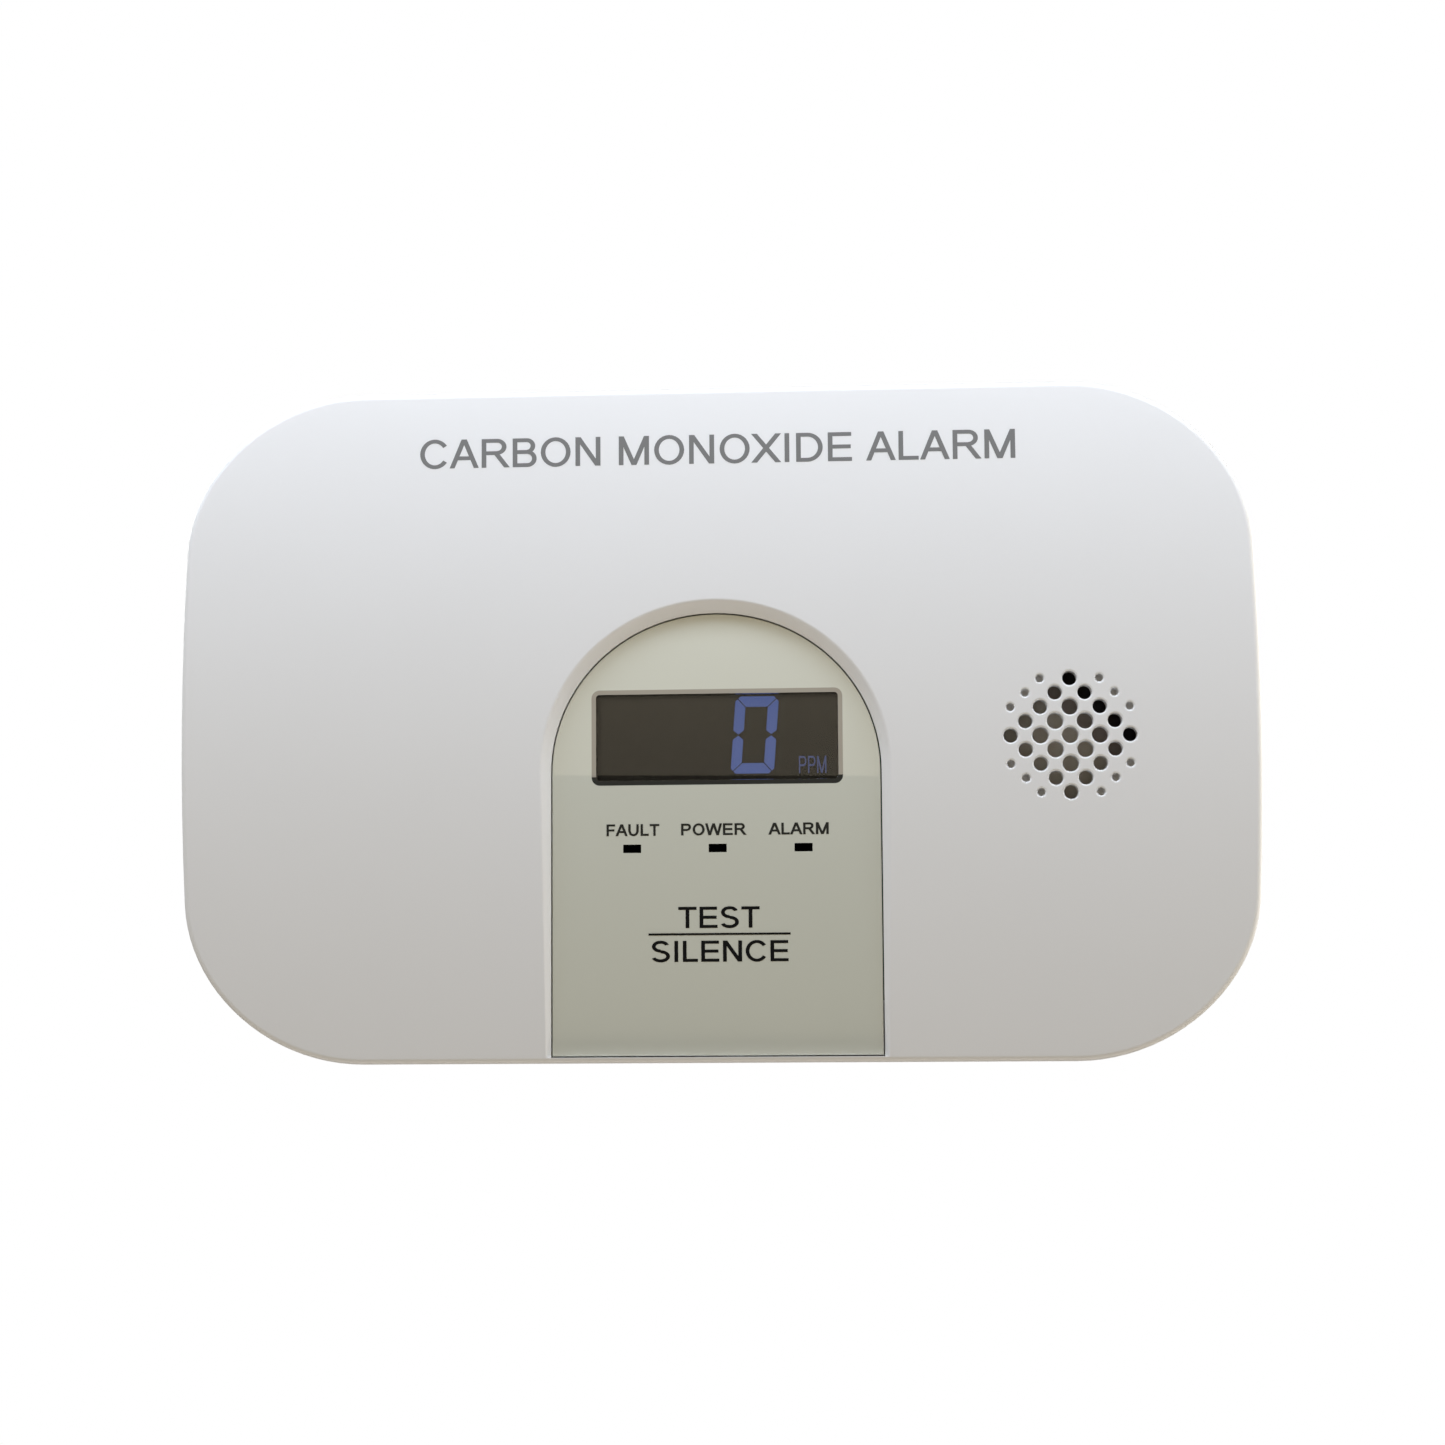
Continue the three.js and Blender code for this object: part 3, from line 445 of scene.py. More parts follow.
COLLAR_HALF = max(x for x, _ in COLLAR)
TINY = 0.001 * MM


def grille_spots():
    """Every hole and dimple: its x, z and radius, and whether it goes through."""
    spots = []
    for i in range(-4, 5):
        for j in range(-4, 5):
            ring = abs(i) + abs(j)
            if ring in HOLE_SIZES:
                spots.append((GRILLE_X + i * PITCH_X, GRILLE_Z + j * PITCH_Z, HOLE_SIZES[ring], True))
            elif ring == 6:
                spots.append((GRILLE_X + i * PITCH_X, GRILLE_Z + j * PITCH_Z, DIMPLE_R, False))
    return spots


def rim_profile():
    """Sideways and inward shares of the flared rim: a soft shoulder, then a straight slope to the seam."""
    reach = RIM_SOFT / math.tan(RIM_TURN / 2)
    rounds = [(1 + RIM_SOFT - reach * math.sin(t), reach * (1 - math.cos(t)))
              for t in (RIM_TURN * i / RIM_STEPS for i in range(RIM_STEPS + 1))]
    return rounds + RIM_SLOPE


def rim_ring(sideways, inward):
    """One ring of the flared rim between the face and the panel's surface."""
    made = []
    for (ex, ez), (x, z) in zip(OPENING, arch(SEAM, SEAM_BOTTOM, FLARE * sideways)):
        top = face_y(ex, ez)
        made.append((x, top + (panel_y(x, z) - top) * inward, z + CENTRE_Z))
    return made


def edge_lines():
    """The rings of the rolled edge, as (points, closed). One that meets the opening ends at its sides."""
    lines = []
    for turn in EDGE_TURNS:
        ring = housing_outline(edge_inset(turn))
        level = ring[0][1]
        if level < SEAM_BOTTOM:
            lines.append((ring, True))
            continue
        side = next(x for x, z in OPENING if abs(z - level) < SAME)
        arc = [p for p in ring if p[1] > level + SAME or abs(p[0]) > side + 0.2 * MM]
        first = next(i for i, p in enumerate(arc) if p[0] > side)
        lines.append(([(side, level)] + arc[first:] + arc[:first] + [(-side, level)], False))
    return lines


def face_spots():
    """Loose points that let the face's triangles follow its crown."""
    limit = housing_outline(edge_inset(EDGE_TURNS[0]) + 1 * MM)
    spots = []
    for i in range(-FACE_COLUMNS, FACE_COLUMNS + 1):
        for j in range(-FACE_ROWS, FACE_ROWS + 1):
            x, z = (i + 0.5 * (j % 2)) * FACE_STEP, j * FACE_STEP
            apart = math.hypot(x - GRILLE_X, z - GRILLE_Z)
            if inside(x, z, limit) and not inside(x, z, OPENING_CLEAR) and apart > GRILLE_CLEAR:
                spots.append((x, z))
    return spots


def cover_face(rims):
    """The front surface, with openings for the panel and for the grille's rims."""
    outer = housing_outline(edge_inset(EDGE_TURNS[-1]))

    def on_face(x, z):
        if not inside(x, z, outer) or inside(x, z, OPENING):
            return False
        near = math.hypot(x - GRILLE_X, z - GRILLE_Z) < GRILLE_CLEAR
        return not (near and any(inside(x, z, rim) for rim in rims))

    lines = [(OPENING, True)] + [(rim, True) for rim in rims] + edge_lines()
    flat, tris = drop_loose(*fill(lines, face_spots(), on_face))
    return at(flat, face_y), tris


def inner_face(x, z):
    """The cover's inner surface, set back under the panel's lower end so that the panel can be pressed in."""
    under_panel = z < INNER_BOTTOM + TINY and abs(x) < COLLAR_HALF + TINY
    return panel_at(WELL_DEPTH + WELL_STEP)(x, z) if under_panel else INNER_Y


def cover_sides():
    """The last of the rolled edge, the outer walls, and the inner walls back to the face's inner side."""
    rings = [at(housing_outline(edge_inset(EDGE_TURNS[-1])), face_y)]
    for turn in LAST_TURNS:
        drop = EDGE_R * (1 - math.cos(turn))
        rings.append(at(housing_outline(edge_inset(turn)), lambda x, z: crown(x, z) + drop))
    rings += [at(housing_outline(0), PARTING_Y - PARTING_BEVEL),
              at(housing_outline(PARTING_BEVEL), PARTING_Y),
              at(INNER_WALL, PARTING_Y), at(INNER_WALL, inner_face)]
    return loft(rings)


def panel_well():
    """The flared rim around the panel, the wall behind it, and the collar inside the cover."""
    floor, inner = panel_at(WELL_DEPTH + WELL_STEP), arch(SEAM, INNER_BOTTOM)
    rings = [rim_ring(*share) for share in rim_profile()]
    rings += [at(arch(SEAM, SEAM_BOTTOM), panel_at(WELL_DEPTH)), at(inner, panel_at(WELL_DEPTH)),
              at(inner, floor), at(COLLAR, floor), at(COLLAR, inner_face)]
    return loft(rings)


def grille_hole(x, z, radius, goes_through):
    """A hole with a rounded rim, through to the inner side, or a dimple with a domed floor."""
    bore = circle(x, z, radius)
    rings = [at(circle(x, z, radius + RIM_ROUND), face_y),
             at(circle(x, z, radius + RIM_ROUND * RIM_MID), lambda a, b: face_y(a, b) + RIM_ROUND * RIM_MID),
             at(bore, lambda a, b: face_y(a, b) + RIM_ROUND)]
    if goes_through:
        return loft(rings + [at(bore, INNER_Y)])
    floor = face_y(x, z) + DIMPLE_DEPTH
    rings += [at(circle(x, z, radius * share), floor - rise) for share, rise in DIMPLE_FLOOR]
    return loft(rings, (False, True))


def cover_inside(bores):
    """The inner side of the face, around the panel's collar and the holes."""
    lines = [(INNER_WALL, True), (COLLAR, True)] + [(bore, True) for bore in bores]
    openings = [COLLAR] + bores
    flat, tris = fill(lines, [], lambda x, z: inside(x, z, INNER_WALL)
                      and not any(inside(x, z, opening) for opening in openings))
    return at(flat, inner_face), tris


def front_cover():
    spots = grille_spots()
    rims = [circle(x, z, radius + RIM_ROUND) for x, z, radius, _ in spots]
    bores = [circle(x, z, radius) for x, z, radius, goes_through in spots if goes_through]
    parts = [cover_face(rims), cover_sides(), panel_well()]
    parts += [grille_hole(*spot) for spot in spots] + [cover_inside(bores)]
    make_piece("housing_front", *merge(*parts), [WHITE], "housing", "shell_white", ["front_cover"], sharp=20)


# ---------------- test panel lens

WINDOW_X, WINDOW_Z = 0.145 * MM, -1.53 * MM
WINDOW_W, WINDOW_H, WINDOW_R = 27.95 * MM, 10.65 * MM, 0.9 * MM
WINDOW_RIM, WINDOW_R_LEAST = 0.5 * MM, 0.3 * MM
# Below this height the window's rim carries painted shade instead of its print.
RIM_SHADE_TOP = -5.9 * MM
LED_W, LED_H, LED_R, LED_SHIFT = 2.0 * MM, 0.93 * MM, 0.05 * MM, 0.17 * MM
LENS_ROUND = 0.18 * MM
LENS_TURNS = [math.radians(30 * i) for i in range(4)]


def window_outline(inset):
    """The display window's outline, with a point on each side where its rim's painted shade begins."""
    half, radius = WINDOW_W / 2 - inset, max(WINDOW_R - inset, WINDOW_R_LEAST)
    ring = rounded_rectangle(WINDOW_X, WINDOW_Z, 2 * half, WINDOW_H - 2 * inset, radius)
    middle = len(ring) // 2
    left, right = (WINDOW_X - half, RIM_SHADE_TOP), (WINDOW_X + half, RIM_SHADE_TOP)
    return ring[:middle] + [left] + ring[middle:] + [right]


def print_of(x, z, masks):
    """The index of the panel's finish at a point: plain, black, or the window's rim, printed above
    RIM_SHADE_TOP and painted dark as shade below it.
    """
    if any(inside(x, z, mask) for mask in masks):
        return 1
    if not inside(x, z, window_outline(0)):
        return 0
    return 3 if z < RIM_SHADE_TOP else 2


def led_masks():
    """The black windows printed over the three indicators."""
    spots = [centre_of(node) for node in ("led_fault", "led_power", "led_alarm")]
    return [rounded_rectangle(spot.x + LED_SHIFT, spot.z, LED_W, LED_H, LED_R, 2) for spot in spots]


def shade_lines():
    """Short lines across the window's rim, one on each side, where its painted shade begins."""
    ends = (WINDOW_W / 2, WINDOW_W / 2 - WINDOW_RIM)
    return [[(WINDOW_X + side * end, RIM_SHADE_TOP) for end in ends] for side in (-1, 1)]


def lens_edge():
    """The panel's edge, rounded at its front."""
    rings = []
    for turn in LENS_TURNS:
        inset = LENS_ROUND * (1 - math.sin(turn))
        rings.append(at(arch(-inset, ARCH_BOTTOM + inset), panel_at(LENS_ROUND * (1 - math.cos(turn)))))
    return loft(rings + [at(arch(0, ARCH_BOTTOM), panel_at(LENS_THICKNESS))])


def lens_side(edge, hole, prints):
    """The triangles of the panel's front or back, divided where the print changes."""
    return fill([(edge, True), (hole, True)] + prints, [],
                lambda x, z: inside(x, z, edge) and not inside(x, z, hole))


def lens():
    """The glossy panel, with its printing and a window for the display."""
    masks, hole = led_masks(), window_outline(WINDOW_RIM)
    prints = [(window_outline(0), True)] + [(line, False) for line in shade_lines()]
    prints += [(mask, True) for mask in masks]
    front, front_tris = lens_side(arch(-LENS_ROUND, ARCH_BOTTOM + LENS_ROUND), hole, prints)
    back, back_tris = lens_side(arch(0, ARCH_BOTTOM), hole, [])
    edge = lens_edge()
    wall = loft([at(hole, panel_y), at(hole, panel_at(LENS_THICKNESS))])
    middles = [[sum(front[i][k] for i in tri) / len(tri) for k in (0, 1)] for tri in front_tris]
    tints = [print_of(x, z, masks) for x, z in middles]
    tints += [0] * (len(back_tris) + len(edge[1])) + [1] * len(wall[1])
    sides = [(at(front, panel_y), front_tris), (at(back, panel_at(LENS_THICKNESS)), back_tris)]
    make_piece("panel_face", *merge(*sides, edge, wall), [PRINT, PRINT_DARK, RIM_LIGHT, RIM_PAINTED_SHADE],
               "test_panel", "panel_clear", ["panel_lens"], tints=tints, sharp=25)


GLASS_GAP, GLASS_SOFT = 0.015 * MM, 0.03 * MM


def window_glass():
    ring = lambda inset, depth: at(window_outline(WINDOW_RIM + inset), panel_at(depth))
    rings = [ring(GLASS_GAP + GLASS_SOFT, 0), ring(GLASS_GAP, GLASS_SOFT),
             ring(GLASS_GAP, LENS_THICKNESS - GLASS_SOFT), ring(GLASS_GAP + GLASS_SOFT, LENS_THICKNESS)]
    make_piece("display_window", *loft(rings, (True, True)), [WINDOW], "test_panel", "panel_clear", sharp=20)


# ---------------- display

def bar(points, y, thickness):
    """A flat polygon with a little thickness towards the wall."""
    return loft([at(points, y), at(points, y + thickness)], (True, True))


DIGIT = {"x": 4.23 * MM, "z": -1.17 * MM, "width": 4.86 * MM, "height": 8.66 * MM, "stroke": 1.17 * MM}
DIGIT_LEAN = 0.075
SEGMENT_GAP = 0.07 * MM
MITRE, POINT = 0.42, 0.45
CELL_SOFT, CELL_LEDGE, CELL_FRONT, CELL_R = 0.15 * MM, 0.3 * MM, 1.3 * MM, 0.3 * MM
DIGIT_LIFT, DIGIT_THICK = 0.03 * MM, 0.02 * MM


def digit_segments(box):
    """The six lit segments of a nought, mitred at their corners and pointed at their middles, leaning."""
    w, h, s, g = box["width"] / 2, box["height"] / 2, box["stroke"], SEGMENT_GAP
    c = MITRE * s
    top = [(c / 2 + g - w, h - c / 2), (c + g - w, h), (w - c - g, h), (w - c / 2 - g, h - c / 2),
           (w - s - g, h - s), (g + s - w, h - s)]
    side = [(w - c / 2, h - c / 2 - g), (w - s, h - s - g), (w - s, POINT * s), (w - s * 0.5, g),
            (w, POINT * s), (w, h - c - g)]
    mirror = lambda points, sx, sz: [(sx * x, sz * z) for x, z in points]
    parts = [top, mirror(top, 1, -1)] + [mirror(side, sx, sz) for sx in (1, -1) for sz in (1, -1)]
    return [[(box["x"] + x + DIGIT_LEAN * z, box["z"] + z) for x, z in part] for part in parts]


def display():
    """The display's cell, stepped in at its front, and its lit digit. Gives the cell's front."""
    low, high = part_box("lcd_glass")
    x, z = (low.x + high.x) / 2, (low.z + high.z) / 2 - CENTRE_Z
    width, height = high.x - low.x, high.z - low.z
    outline = lambda inset: rounded_rectangle(x, z, width - 2 * inset, height - 2 * inset, CELL_R)
    step = low.y + CELL_FRONT
    rings = [at(outline(CELL_SOFT + CELL_LEDGE), low.y), at(outline(CELL_LEDGE), low.y + CELL_SOFT),
             at(outline(CELL_LEDGE), step), at(outline(0), step + 0.01 * MM),
             at(outline(0), high.y - CELL_SOFT), at(outline(CELL_SOFT), high.y)]
    make_piece("display_cell", *loft(rings, (True, True)), [DISPLAY], "housing", "lcd_dark", ["lcd_glass"],
               sharp=30)
    lit = merge(*[bar(points, low.y - DIGIT_LIFT, DIGIT_THICK) for points in digit_segments(DIGIT)])
    make_piece("display_digit", *lit, [SEGMENT], "housing", "lcd_dark", sharp=20)
    return low.y


# ---------------- lettering

STEM, BAR = 0.133, 0.118
BOW_STEPS = 28

# Plain block capitals, in cap heights: how far each moves the pen on, and its strokes. A post is (x, low,
# high), a bar is (left, right, low), a slant is (x at its foot, x at its head, low, high), and a bow is
# (x, z, its two radii, start, stop).
CAPITALS = {
    " ": (0.388, []),
    "A": (0.932, [("slant", 0.075, 0.46, 0, 1), ("slant", 0.857, 0.472, 0, 1), ("bar", 0.2, 0.73, 0.285)]),
    "B": (0.932, [("post", 0.102, 0, 1), ("bar", 0.102, 0.55, 0.882), ("bar", 0.102, 0.56, 0.465),
                  ("bar", 0.102, 0.57, 0), ("bow", 0.55, 0.733, 0.27, 0.267, -90, 90),
                  ("bow", 0.57, 0.2915, 0.295, 0.2915, -90, 90)]),
    "C": (1.008, [("bow", 0.525, 0.5, 0.475, 0.516, 35, 325)]),
    "D": (1.008, [("post", 0.108, 0, 1), ("bar", 0.108, 0.46, 0.882), ("bar", 0.108, 0.46, 0),
                  ("bow", 0.46, 0.5, 0.486, 0.5, -90, 90)]),
    "E": (0.932, [("post", 0.11, 0, 1), ("bar", 0.11, 0.867, 0), ("bar", 0.11, 0.83, 0.445),
                  ("bar", 0.11, 0.85, 0.882)]),
    "F": (0.853, [("post", 0.115, 0, 1), ("bar", 0.115, 0.73, 0.43), ("bar", 0.115, 0.789, 0.882)]),
    "I": (0.388, [("post", 0.13, 0, 1)]),
    "L": (0.777, [("post", 0.102, 0, 1), ("bar", 0.102, 0.73, 0)]),
    "M": (1.163, [("post", 0.103, 0, 1), ("post", 0.924, 0, 1), ("slant", 0.58, 0.175, 0, 1),
                  ("slant", 0.58, 0.985, 0, 1)]),
    "N": (1.008, [("post", 0.106, 0, 1), ("post", 0.759, 0, 1), ("slant", 0.82, 0.178, 0, 1)]),
    "O": (1.087, [("bow", 0.547, 0.5, 0.48, 0.516, 0, 360)]),
    "P": (0.932, [("post", 0.108, 0, 1), ("bar", 0.108, 0.59, 0.882), ("bar", 0.108, 0.59, 0.405),
                  ("bow", 0.59, 0.7025, 0.28, 0.2975, -90, 90)]),
    "R": (1.008, [("post", 0.108, 0, 1), ("bar", 0.108, 0.6, 0.882), ("bar", 0.108, 0.6, 0.445),
                  ("bow", 0.6, 0.7225, 0.3, 0.2775, -90, 90), ("slant", 0.915, 0.56, 0, 0.5)]),
    "S": (0.932, [("bow", 0.46, 0.735, 0.37, 0.281, 20, 270), ("bow", 0.46, 0.272, 0.398, 0.288, -160, 90)]),
    "T": (0.853, [("bar", 0.032, 0.821, 0.882), ("post", 0.36, 0, 1)]),
    "U": (1.008, [("post", 0.11, 0.36, 1), ("post", 0.764, 0.36, 1),
                  ("bow", 0.5035, 0.36, 0.3935, 0.376, 180, 360)]),
    "W": (1.318, [("slant", 0.335, 0.08, 0, 1), ("slant", 0.345, 0.655, 0, 1),
                  ("slant", 0.97, 0.655, 0, 1), ("slant", 0.98, 1.235, 0, 1)]),
    "X": (0.932, [("slant", 0.08, 0.85, 0, 1), ("slant", 0.85, 0.08, 0, 1)]),
}


def stroke_outline(weight, kind, *spec):
    """The outline of one stroke, drawn heavier or lighter by a weight."""
    extra_w, extra_h = STEM * (weight - 1) / 2, BAR * (weight - 1) / 2
    if kind == "post":
        x, low, high = spec
        left, right = x - extra_w, x + STEM + extra_w
        return [(left, low), (right, low), (right, high), (left, high)]
    if kind == "bar":
        left, right, low = spec
        low = min(max(low - extra_h, 0), 1 - BAR * weight)
        return [(left, low), (right, low), (right, low + BAR * weight), (left, low + BAR * weight)]
    if kind == "slant":
        foot, head, low, high = spec
        half = STEM * weight / 2 * math.hypot(head - foot, high - low) / (high - low)
        return [(foot - half, low), (foot + half, low), (head + half, high), (head - half, high)]
    x, z, rx, rz, start, stop = spec
    turns = [math.radians(start + (stop - start) * i / BOW_STEPS) for i in range(BOW_STEPS + 1)]
    outer = [(x + rx * math.cos(t), z + rz * math.sin(t)) for t in turns]
    inner_rx, inner_rz = rx - STEM * weight, rz - BAR * weight
    return outer + [(x + inner_rx * math.cos(t), z + inner_rz * math.sin(t)) for t in reversed(turns)]


def raised(flat, tris, front, back):
    """A thin closed solid on a triangulated flat shape, between its front and back surfaces."""
    count = len(flat)
    used = {}
    for tri in tris:
        for a, b in zip(tri, tri[1:] + tri[:1]):
            used[(a, b)] = True
    rim = [(a, b) for a, b in used if (b, a) not in used]
    faces = list(tris) + [tuple(i + count for i in reversed(tri)) for tri in tris]
    faces += [(b, a, a + count, b + count) for a, b in rim]
    return at(flat, front) + at(flat, back), faces


def glyph(letter, weight, pen):
    """A letter's triangulated shape, moved along by the pen, and how far it moves the pen on."""
    step, strokes = CAPITALS[letter]
    outlines = [stroke_outline(weight, *stroke) for stroke in strokes]
    if not outlines:
        return [], [], step
    flat, tris = drop_loose(*fill([(outline, True) for outline in outlines], [],
                                  lambda x, z: any(inside(x, z, outline) for outline in outlines)))
    return [(x + pen, z) for x, z in flat], tris, step


LETTER_LIFT = 0.02 * MM


def letters(name, text, box, surface, material, body, slot, weight=1.0):
    """Block capitals that fill a box of left, right, bottom and top, standing slightly proud of a surface
    given as a function of (x, z)."""
    left, right, bottom, top = box
    pen, shapes = 0.0, []
    for letter in text:
        flat, tris, step = glyph(letter, weight, pen)
        shapes += [(flat, tris)] if flat else []
        pen += step
    xs = [x for flat, _ in shapes for x, _ in flat]
    stretch = (right - left) / (max(xs) - min(xs))
    parts = []
    for flat, tris in shapes:
        placed = [(left + (x - min(xs)) * stretch, bottom + z * (top - bottom)) for x, z in flat]
        parts.append(raised(placed, tris, lambda x, z: surface(x, z) - LETTER_LIFT,
                            lambda x, z: surface(x, z) - 0.2 * LETTER_LIFT))
    make_piece(name, *merge(*parts), [material], body, slot, sharp=30, weld=WELD_FINE)


def mm(*values):
    return [value * MM for value in values]


HEADER_BOX = mm(-32.9, 33.6, 28.93, 32.18)
UNIT_BOX = mm(9.15, 12.22, -5.52, -3.6)
RULE_BOX = mm(-7.55, 8.15, -23.49, -23.27)
RULE_LIFT = mm(0.03, 0.005)
LABELS = {
    "FAULT": (mm(-12.18, -6.30, -12.47, -11.17), INK_THIN, 1.45),
    "POWER": (mm(-3.88, 3.38, -12.47, -11.17), INK_THIN, 1.45),
    "ALARM": (mm(5.79, 12.47, -12.47, -11.17), INK_THIN, 1.45),
    "TEST": (mm(-4.24, 4.76, -22.71, -20.37), INK, 1.2),
    "SILENCE": (mm(-7.18, 7.91, -26.42, -24.11), INK, 1.2),
}


def panel_labels():
    for word, (box, ink, weight) in LABELS.items():
        letters("label_" + word.lower(), word, box, panel_y, ink, "test_panel", "print_grey", weight)
    left, right, bottom, top = RULE_BOX
    rule = [(left, bottom), (right, bottom), (right, top), (left, top)]
    rings = [at(rule, panel_at(-lift)) for lift in RULE_LIFT]
    make_piece("label_rule", *loft(rings, (True, True)), [INK], "test_panel", "print_grey",
               weld=WELD_FINE)


def all_lettering(display_y):
    letters("header_words", "CARBON MONOXIDE ALARM", HEADER_BOX, face_y, HEADER_INK, "housing", "print_grey",
            1.12)
    panel_labels()
    letters("display_unit", "PPM", UNIT_BOX, lambda x, z: display_y, SEGMENT_DIM, "housing", "lcd_dark")


# ---------------- shells, cells and fittings refined from the frame

BODY_OF = {node: body for body, nodes in frame["record"]["behaviour"]["bodies"].items() for node in nodes}
SLOT_OF = {entry["node"]: entry["material_slot"] for entry in frame["record"]["subparts"]}


FLAT_ANGLE = math.radians(0.5)


def softened(node, width, sharp=30, cuts=()):
    """A copy of a node's mesh, welded, with its flat areas joined and its sharp edges rounded. cuts are
    planes, each a point and a normal, that divide its faces where its finish changes."""
    bm = bmesh.new()
    bm.from_mesh(frame["nodes"][node].data)
    bmesh.ops.remove_doubles(bm, verts=bm.verts, dist=WELD)
    bmesh.ops.dissolve_limit(bm, angle_limit=FLAT_ANGLE, verts=bm.verts, edges=bm.edges)
    corners = [e for e in bm.edges if len(e.link_faces) == 2 and e.calc_face_angle(0) > math.radians(sharp)]
    if width:
        bmesh.ops.bevel(bm, geom=corners, offset=width, segments=2, profile=0.5, affect="EDGES",
                        clamp_overlap=True)
    for point, normal in cuts:
        everything = [*bm.verts, *bm.edges, *bm.faces]
        bmesh.ops.bisect_plane(bm, geom=everything, plane_co=point, plane_no=normal)
    bmesh.ops.triangulate(bm, faces=[f for f in bm.faces if len(f.verts) > 4])
    verts = [v.co.copy() for v in bm.verts]
    faces = [tuple(v.index for v in f.verts) for f in bm.faces]
    bm.free()
    return verts, faces


def refine(node, width, sharp=30, finish=None, tint=None, cuts=()):
    """Replaces a CAD node with its softened copy. tint picks a material for a face from its centre."""
    verts, faces = softened(node, width, sharp, cuts=cuts)
    materials = finish or [SLOT_LOOKS[SLOT_OF[node]]]
    tints = None
    if tint:
        tints = [tint(sum((verts[i] for i in face), Vector()) / len(face)) for face in faces]
    make_piece(node + "_detail", verts, faces, materials, BODY_OF[node], SLOT_OF[node], [node], tints=tints,
               sharp=32)


CELL_BANDS = (0.012, 0.7, 0.965)
CELL_END = 0.93


def cell(index):
    """A plain wrapped cell: a coloured sleeve, a metallic band towards its raised end, and bare ends."""
    node = "battery_%d" % index
    low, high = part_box(node)
    middle = (low + high) / 2
    axis = 1 if centre_of("battery_spring_%d" % index).x < middle.x else -1
    length, radius = high.x - low.x, (high.z - low.z) / 2

    def tint(point):
        along = ((point.x - middle.x) * axis + length / 2) / length
        apart = math.hypot(point.y - middle.y, point.z - middle.z)
        if apart < radius * CELL_END or not CELL_BANDS[0] < along < CELL_BANDS[2]:
            return 1
        return 2 if along > CELL_BANDS[1] else 0

    along_x = Vector((1, 0, 0))
    cuts = [(middle + along_x * axis * length * (share - 0.5), along_x) for share in CELL_BANDS]
    refine(node, 0.25 * MM, 40, [JACKET, STEEL, CELL_GOLD], tint, cuts)


# Distances across the plate at which its painted shade turns half dark, then black.
PLATE_SHADE_EDGES = (1.41 * MM, 4.06 * MM)


def piezo_plate():
    """The sounder's plate, with painted shade over its upper right part: a half-dark band, then black, where
    the grille's holes fall in shade.
    """
    low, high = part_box("piezo_plate")
    middle = (low + high) / 2
    across = Vector((1, 0, 1)).normalized()
    cuts = [(middle + across * edge, across) for edge in PLATE_SHADE_EDGES]
    refine("piezo_plate", 0.1 * MM, 40, [BRASS, PLATE_HALF_SHADE, PLATE_SHADE],
           lambda point: sum((point - middle).dot(across) > edge for edge in PLATE_SHADE_EDGES), cuts)


def fittings():
    refine("back_cover", 0.22 * MM)
    refine("battery_door", 0.25 * MM)
    for index in (1, 2, 3):
        cell(index)
        refine("battery_spring_%d" % index, 0)
    for index in (1, 2, 3, 4):
        refine("case_screw_%d" % index, 0.08 * MM, 50)
        refine("board_screw_%d" % index, 0.06 * MM, 50)
    for node in ("link_left", "link_right", "terminal_negative", "terminal_positive"):
        refine("battery_" + node, 0.06 * MM)
    piezo_plate()
    for node in ("sounder_cup", "sounder_gasket", "co_sensor_can", "panel_carrier", "led_shroud"):
        refine(node, 0.1 * MM, 40)


# ---------------- stage, lights and camera

CAMERA_DISTANCE = 0.300
CAMERA_PITCH, CAMERA_YAW, CAMERA_ROLL = -4.608, -3.589, 0.735
CAMERA_LENS, SENSOR_WIDTH = 67.39, 36
CAMERA_SHIFT = 0.0052
AIM_DEPTH = 0.8 * MM


def add_camera():
    pitch, yaw, roll = (math.radians(v) for v in (CAMERA_PITCH, CAMERA_YAW, CAMERA_ROLL))
    turn = Matrix.Rotation(roll, 3, "Z") @ Matrix.Rotation(yaw, 3, "Y") @ Matrix.Rotation(pitch, 3, "X")
    stand = Matrix(((1, 0, 0), (0, 0, -1), (0, 1, 0)))
    axes = stand @ turn.transposed()
    aim = Vector((0, FACE_Y + AIM_DEPTH, CENTRE_Z))
    data = bpy.data.cameras.new("camera")
    data.lens = CAMERA_LENS
    data.sensor_width = SENSOR_WIDTH
    data.shift_x = CAMERA_SHIFT
    data.clip_start = 0.01
    camera = bpy.data.objects.new("camera", data)
    camera.matrix_world = Matrix.Translation(aim + axes @ Vector((0, 0, CAMERA_DISTANCE))) @ axes.to_4x4()
    bpy.context.scene.collection.objects.link(camera)
    bpy.context.scene.camera = camera


def area_light(name, place, target, size, power, color):
    data = bpy.data.lights.new(name, "AREA")
    data.shape = "RECTANGLE"
    data.size, data.size_y = size
    data.energy = power
    data.color = color
    lamp = bpy.data.objects.new(name, data)
    lamp.location = place
    lamp.rotation_mode = "QUATERNION"
    lamp.rotation_quaternion = (Vector(target) - Vector(place)).to_track_quat("-Z", "Y")
    bpy.context.scene.collection.objects.link(lamp)


def glow(name, color, strength):
    material = bpy.data.materials.new(name)
    material.use_nodes = True
    nodes = material.node_tree.nodes
    nodes.remove(nodes["Principled BSDF"])
    emission = nodes.new("ShaderNodeEmission")
    emission.inputs["Color"].default_value = (*color, 1)
    emission.inputs["Strength"].default_value = strength
    surface = nodes["Material Output"].inputs["Surface"]
    material.node_tree.links.new(emission.outputs["Emission"], surface)
    return material


def staged(name, verts, faces, material):
    """A mesh of the stage, which is no piece of the part."""
    mesh = bpy.data.meshes.new(name)
    mesh.from_pydata(verts, [], faces)
    mesh.materials.append(material)
    obj = bpy.data.objects.new(name, mesh)
    bpy.context.scene.collection.objects.link(obj)
    return obj


def show_to_camera_only(obj):
    obj.visible_diffuse = obj.visible_glossy = obj.visible_transmission = False
    obj.visible_volume_scatter = obj.visible_shadow = False


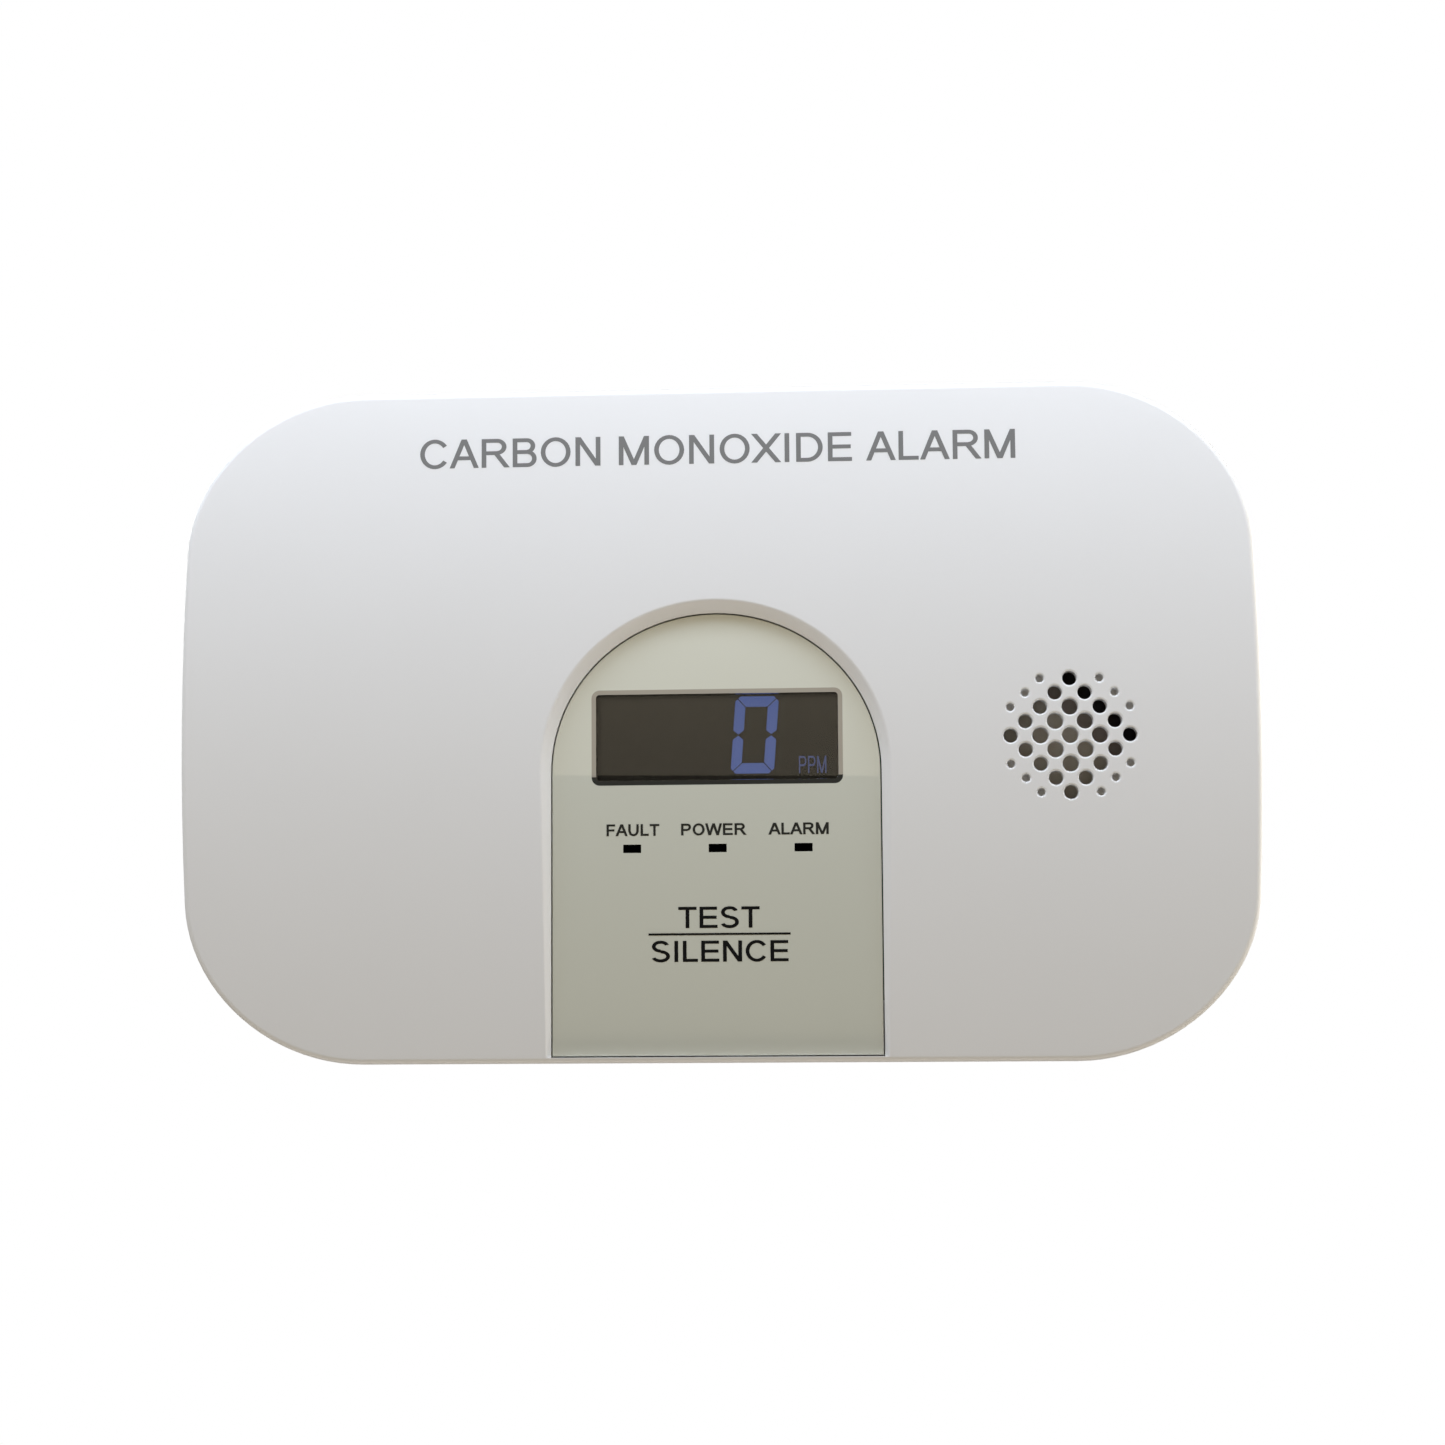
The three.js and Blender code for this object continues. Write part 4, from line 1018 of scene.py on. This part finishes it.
CARD = {"bottom": 0.0266, "top": 0.62, "half": 0.9, "y": -0.636, "tilt": -0.012}
CARD_COLOR = (0.80, 0.70, 0.53)


def reflection_card():
    """A pale card high in front, whose lower edge shows as the line across the glossy panel."""
    half, y, drop = CARD["half"], CARD["y"], CARD["tilt"] * CARD["half"]
    verts = [(-half, y, CARD["bottom"] - drop), (half, y, CARD["bottom"] + drop), (half, y, CARD["top"]),
             (-half, y, CARD["top"])]
    card = staged("reflection_card", verts, [(0, 1, 2, 3)], glow("card_light", CARD_COLOR, 1.0))
    card.visible_camera = False


STAGE_SIZE, STAGE_DROP = 3.0, 0.12
AMBIENT = (0.10, 0.09, 0.07, 1)


def add_stage():
    size, level = STAGE_SIZE, CAD_LOW.z - STAGE_DROP
    square = [(-size, -size), (size, -size), (size, size), (-size, size)]
    floor = staged("floor", [(x, y, level) for x, y in square], [(0, 1, 2, 3)],
                   glow("pale_floor", (1, 1, 1), 1.0))
    sides = [(i, (i + 1) % 4, (i + 1) % 4 + 4, i + 4) for i in range(4)]
    corners = [(x, y, z) for z in (level, size) for x, y in square]
    walls = staged("backdrop", corners, sides + [(4, 5, 6, 7)], glow("pale_backdrop", (1, 1, 1), 1.0))
    show_to_camera_only(floor)
    show_to_camera_only(walls)
    world = bpy.data.worlds.new("studio")
    bpy.context.scene.world = world
    world.use_nodes = True
    world.node_tree.nodes["Background"].inputs["Color"].default_value = AMBIENT


# Each lamp's place, the depth it aims at, its size, power in watts and colour.
LAMPS = {
    "key": ((0, -0.09, 0.075), FACE_Y, (0.45, 0.04), 0.335, (0.775, 0.86, 1.0)),
    "low_edge": ((0, -0.08, -0.30), FACE_Y, (0.6, 0.06), 0.44, (1.0, 0.93, 0.84)),
    "left_edge": ((-0.40, -0.03, -0.03), FACE_Y, (0.1, 0.3), 0.15, (1, 1, 1)),
    "right_edge": ((0.40, -0.03, -0.03), FACE_Y, (0.1, 0.3), 0.6, (1.0, 0.90, 0.72)),
    "rear_left": ((-0.35, 0.45, 0.25), 0, (0.4, 0.4), 3.0, (1, 1, 1)),
    "rear_right": ((0.45, 0.35, 0.05), 0, (0.4, 0.4), 1.6, (1, 1, 1)),
}


def add_lights():
    for name, (place, depth, size, power, color) in LAMPS.items():
        area_light(name, place, (0, depth, CENTRE_Z), size, power, color)


# ---------------- build

dress_cad_nodes()
front_cover()
lens()
window_glass()
all_lettering(display())
fittings()
add_stage()
reflection_card()
add_lights()
add_camera()
bpy.context.scene.view_settings.view_transform = "Standard"
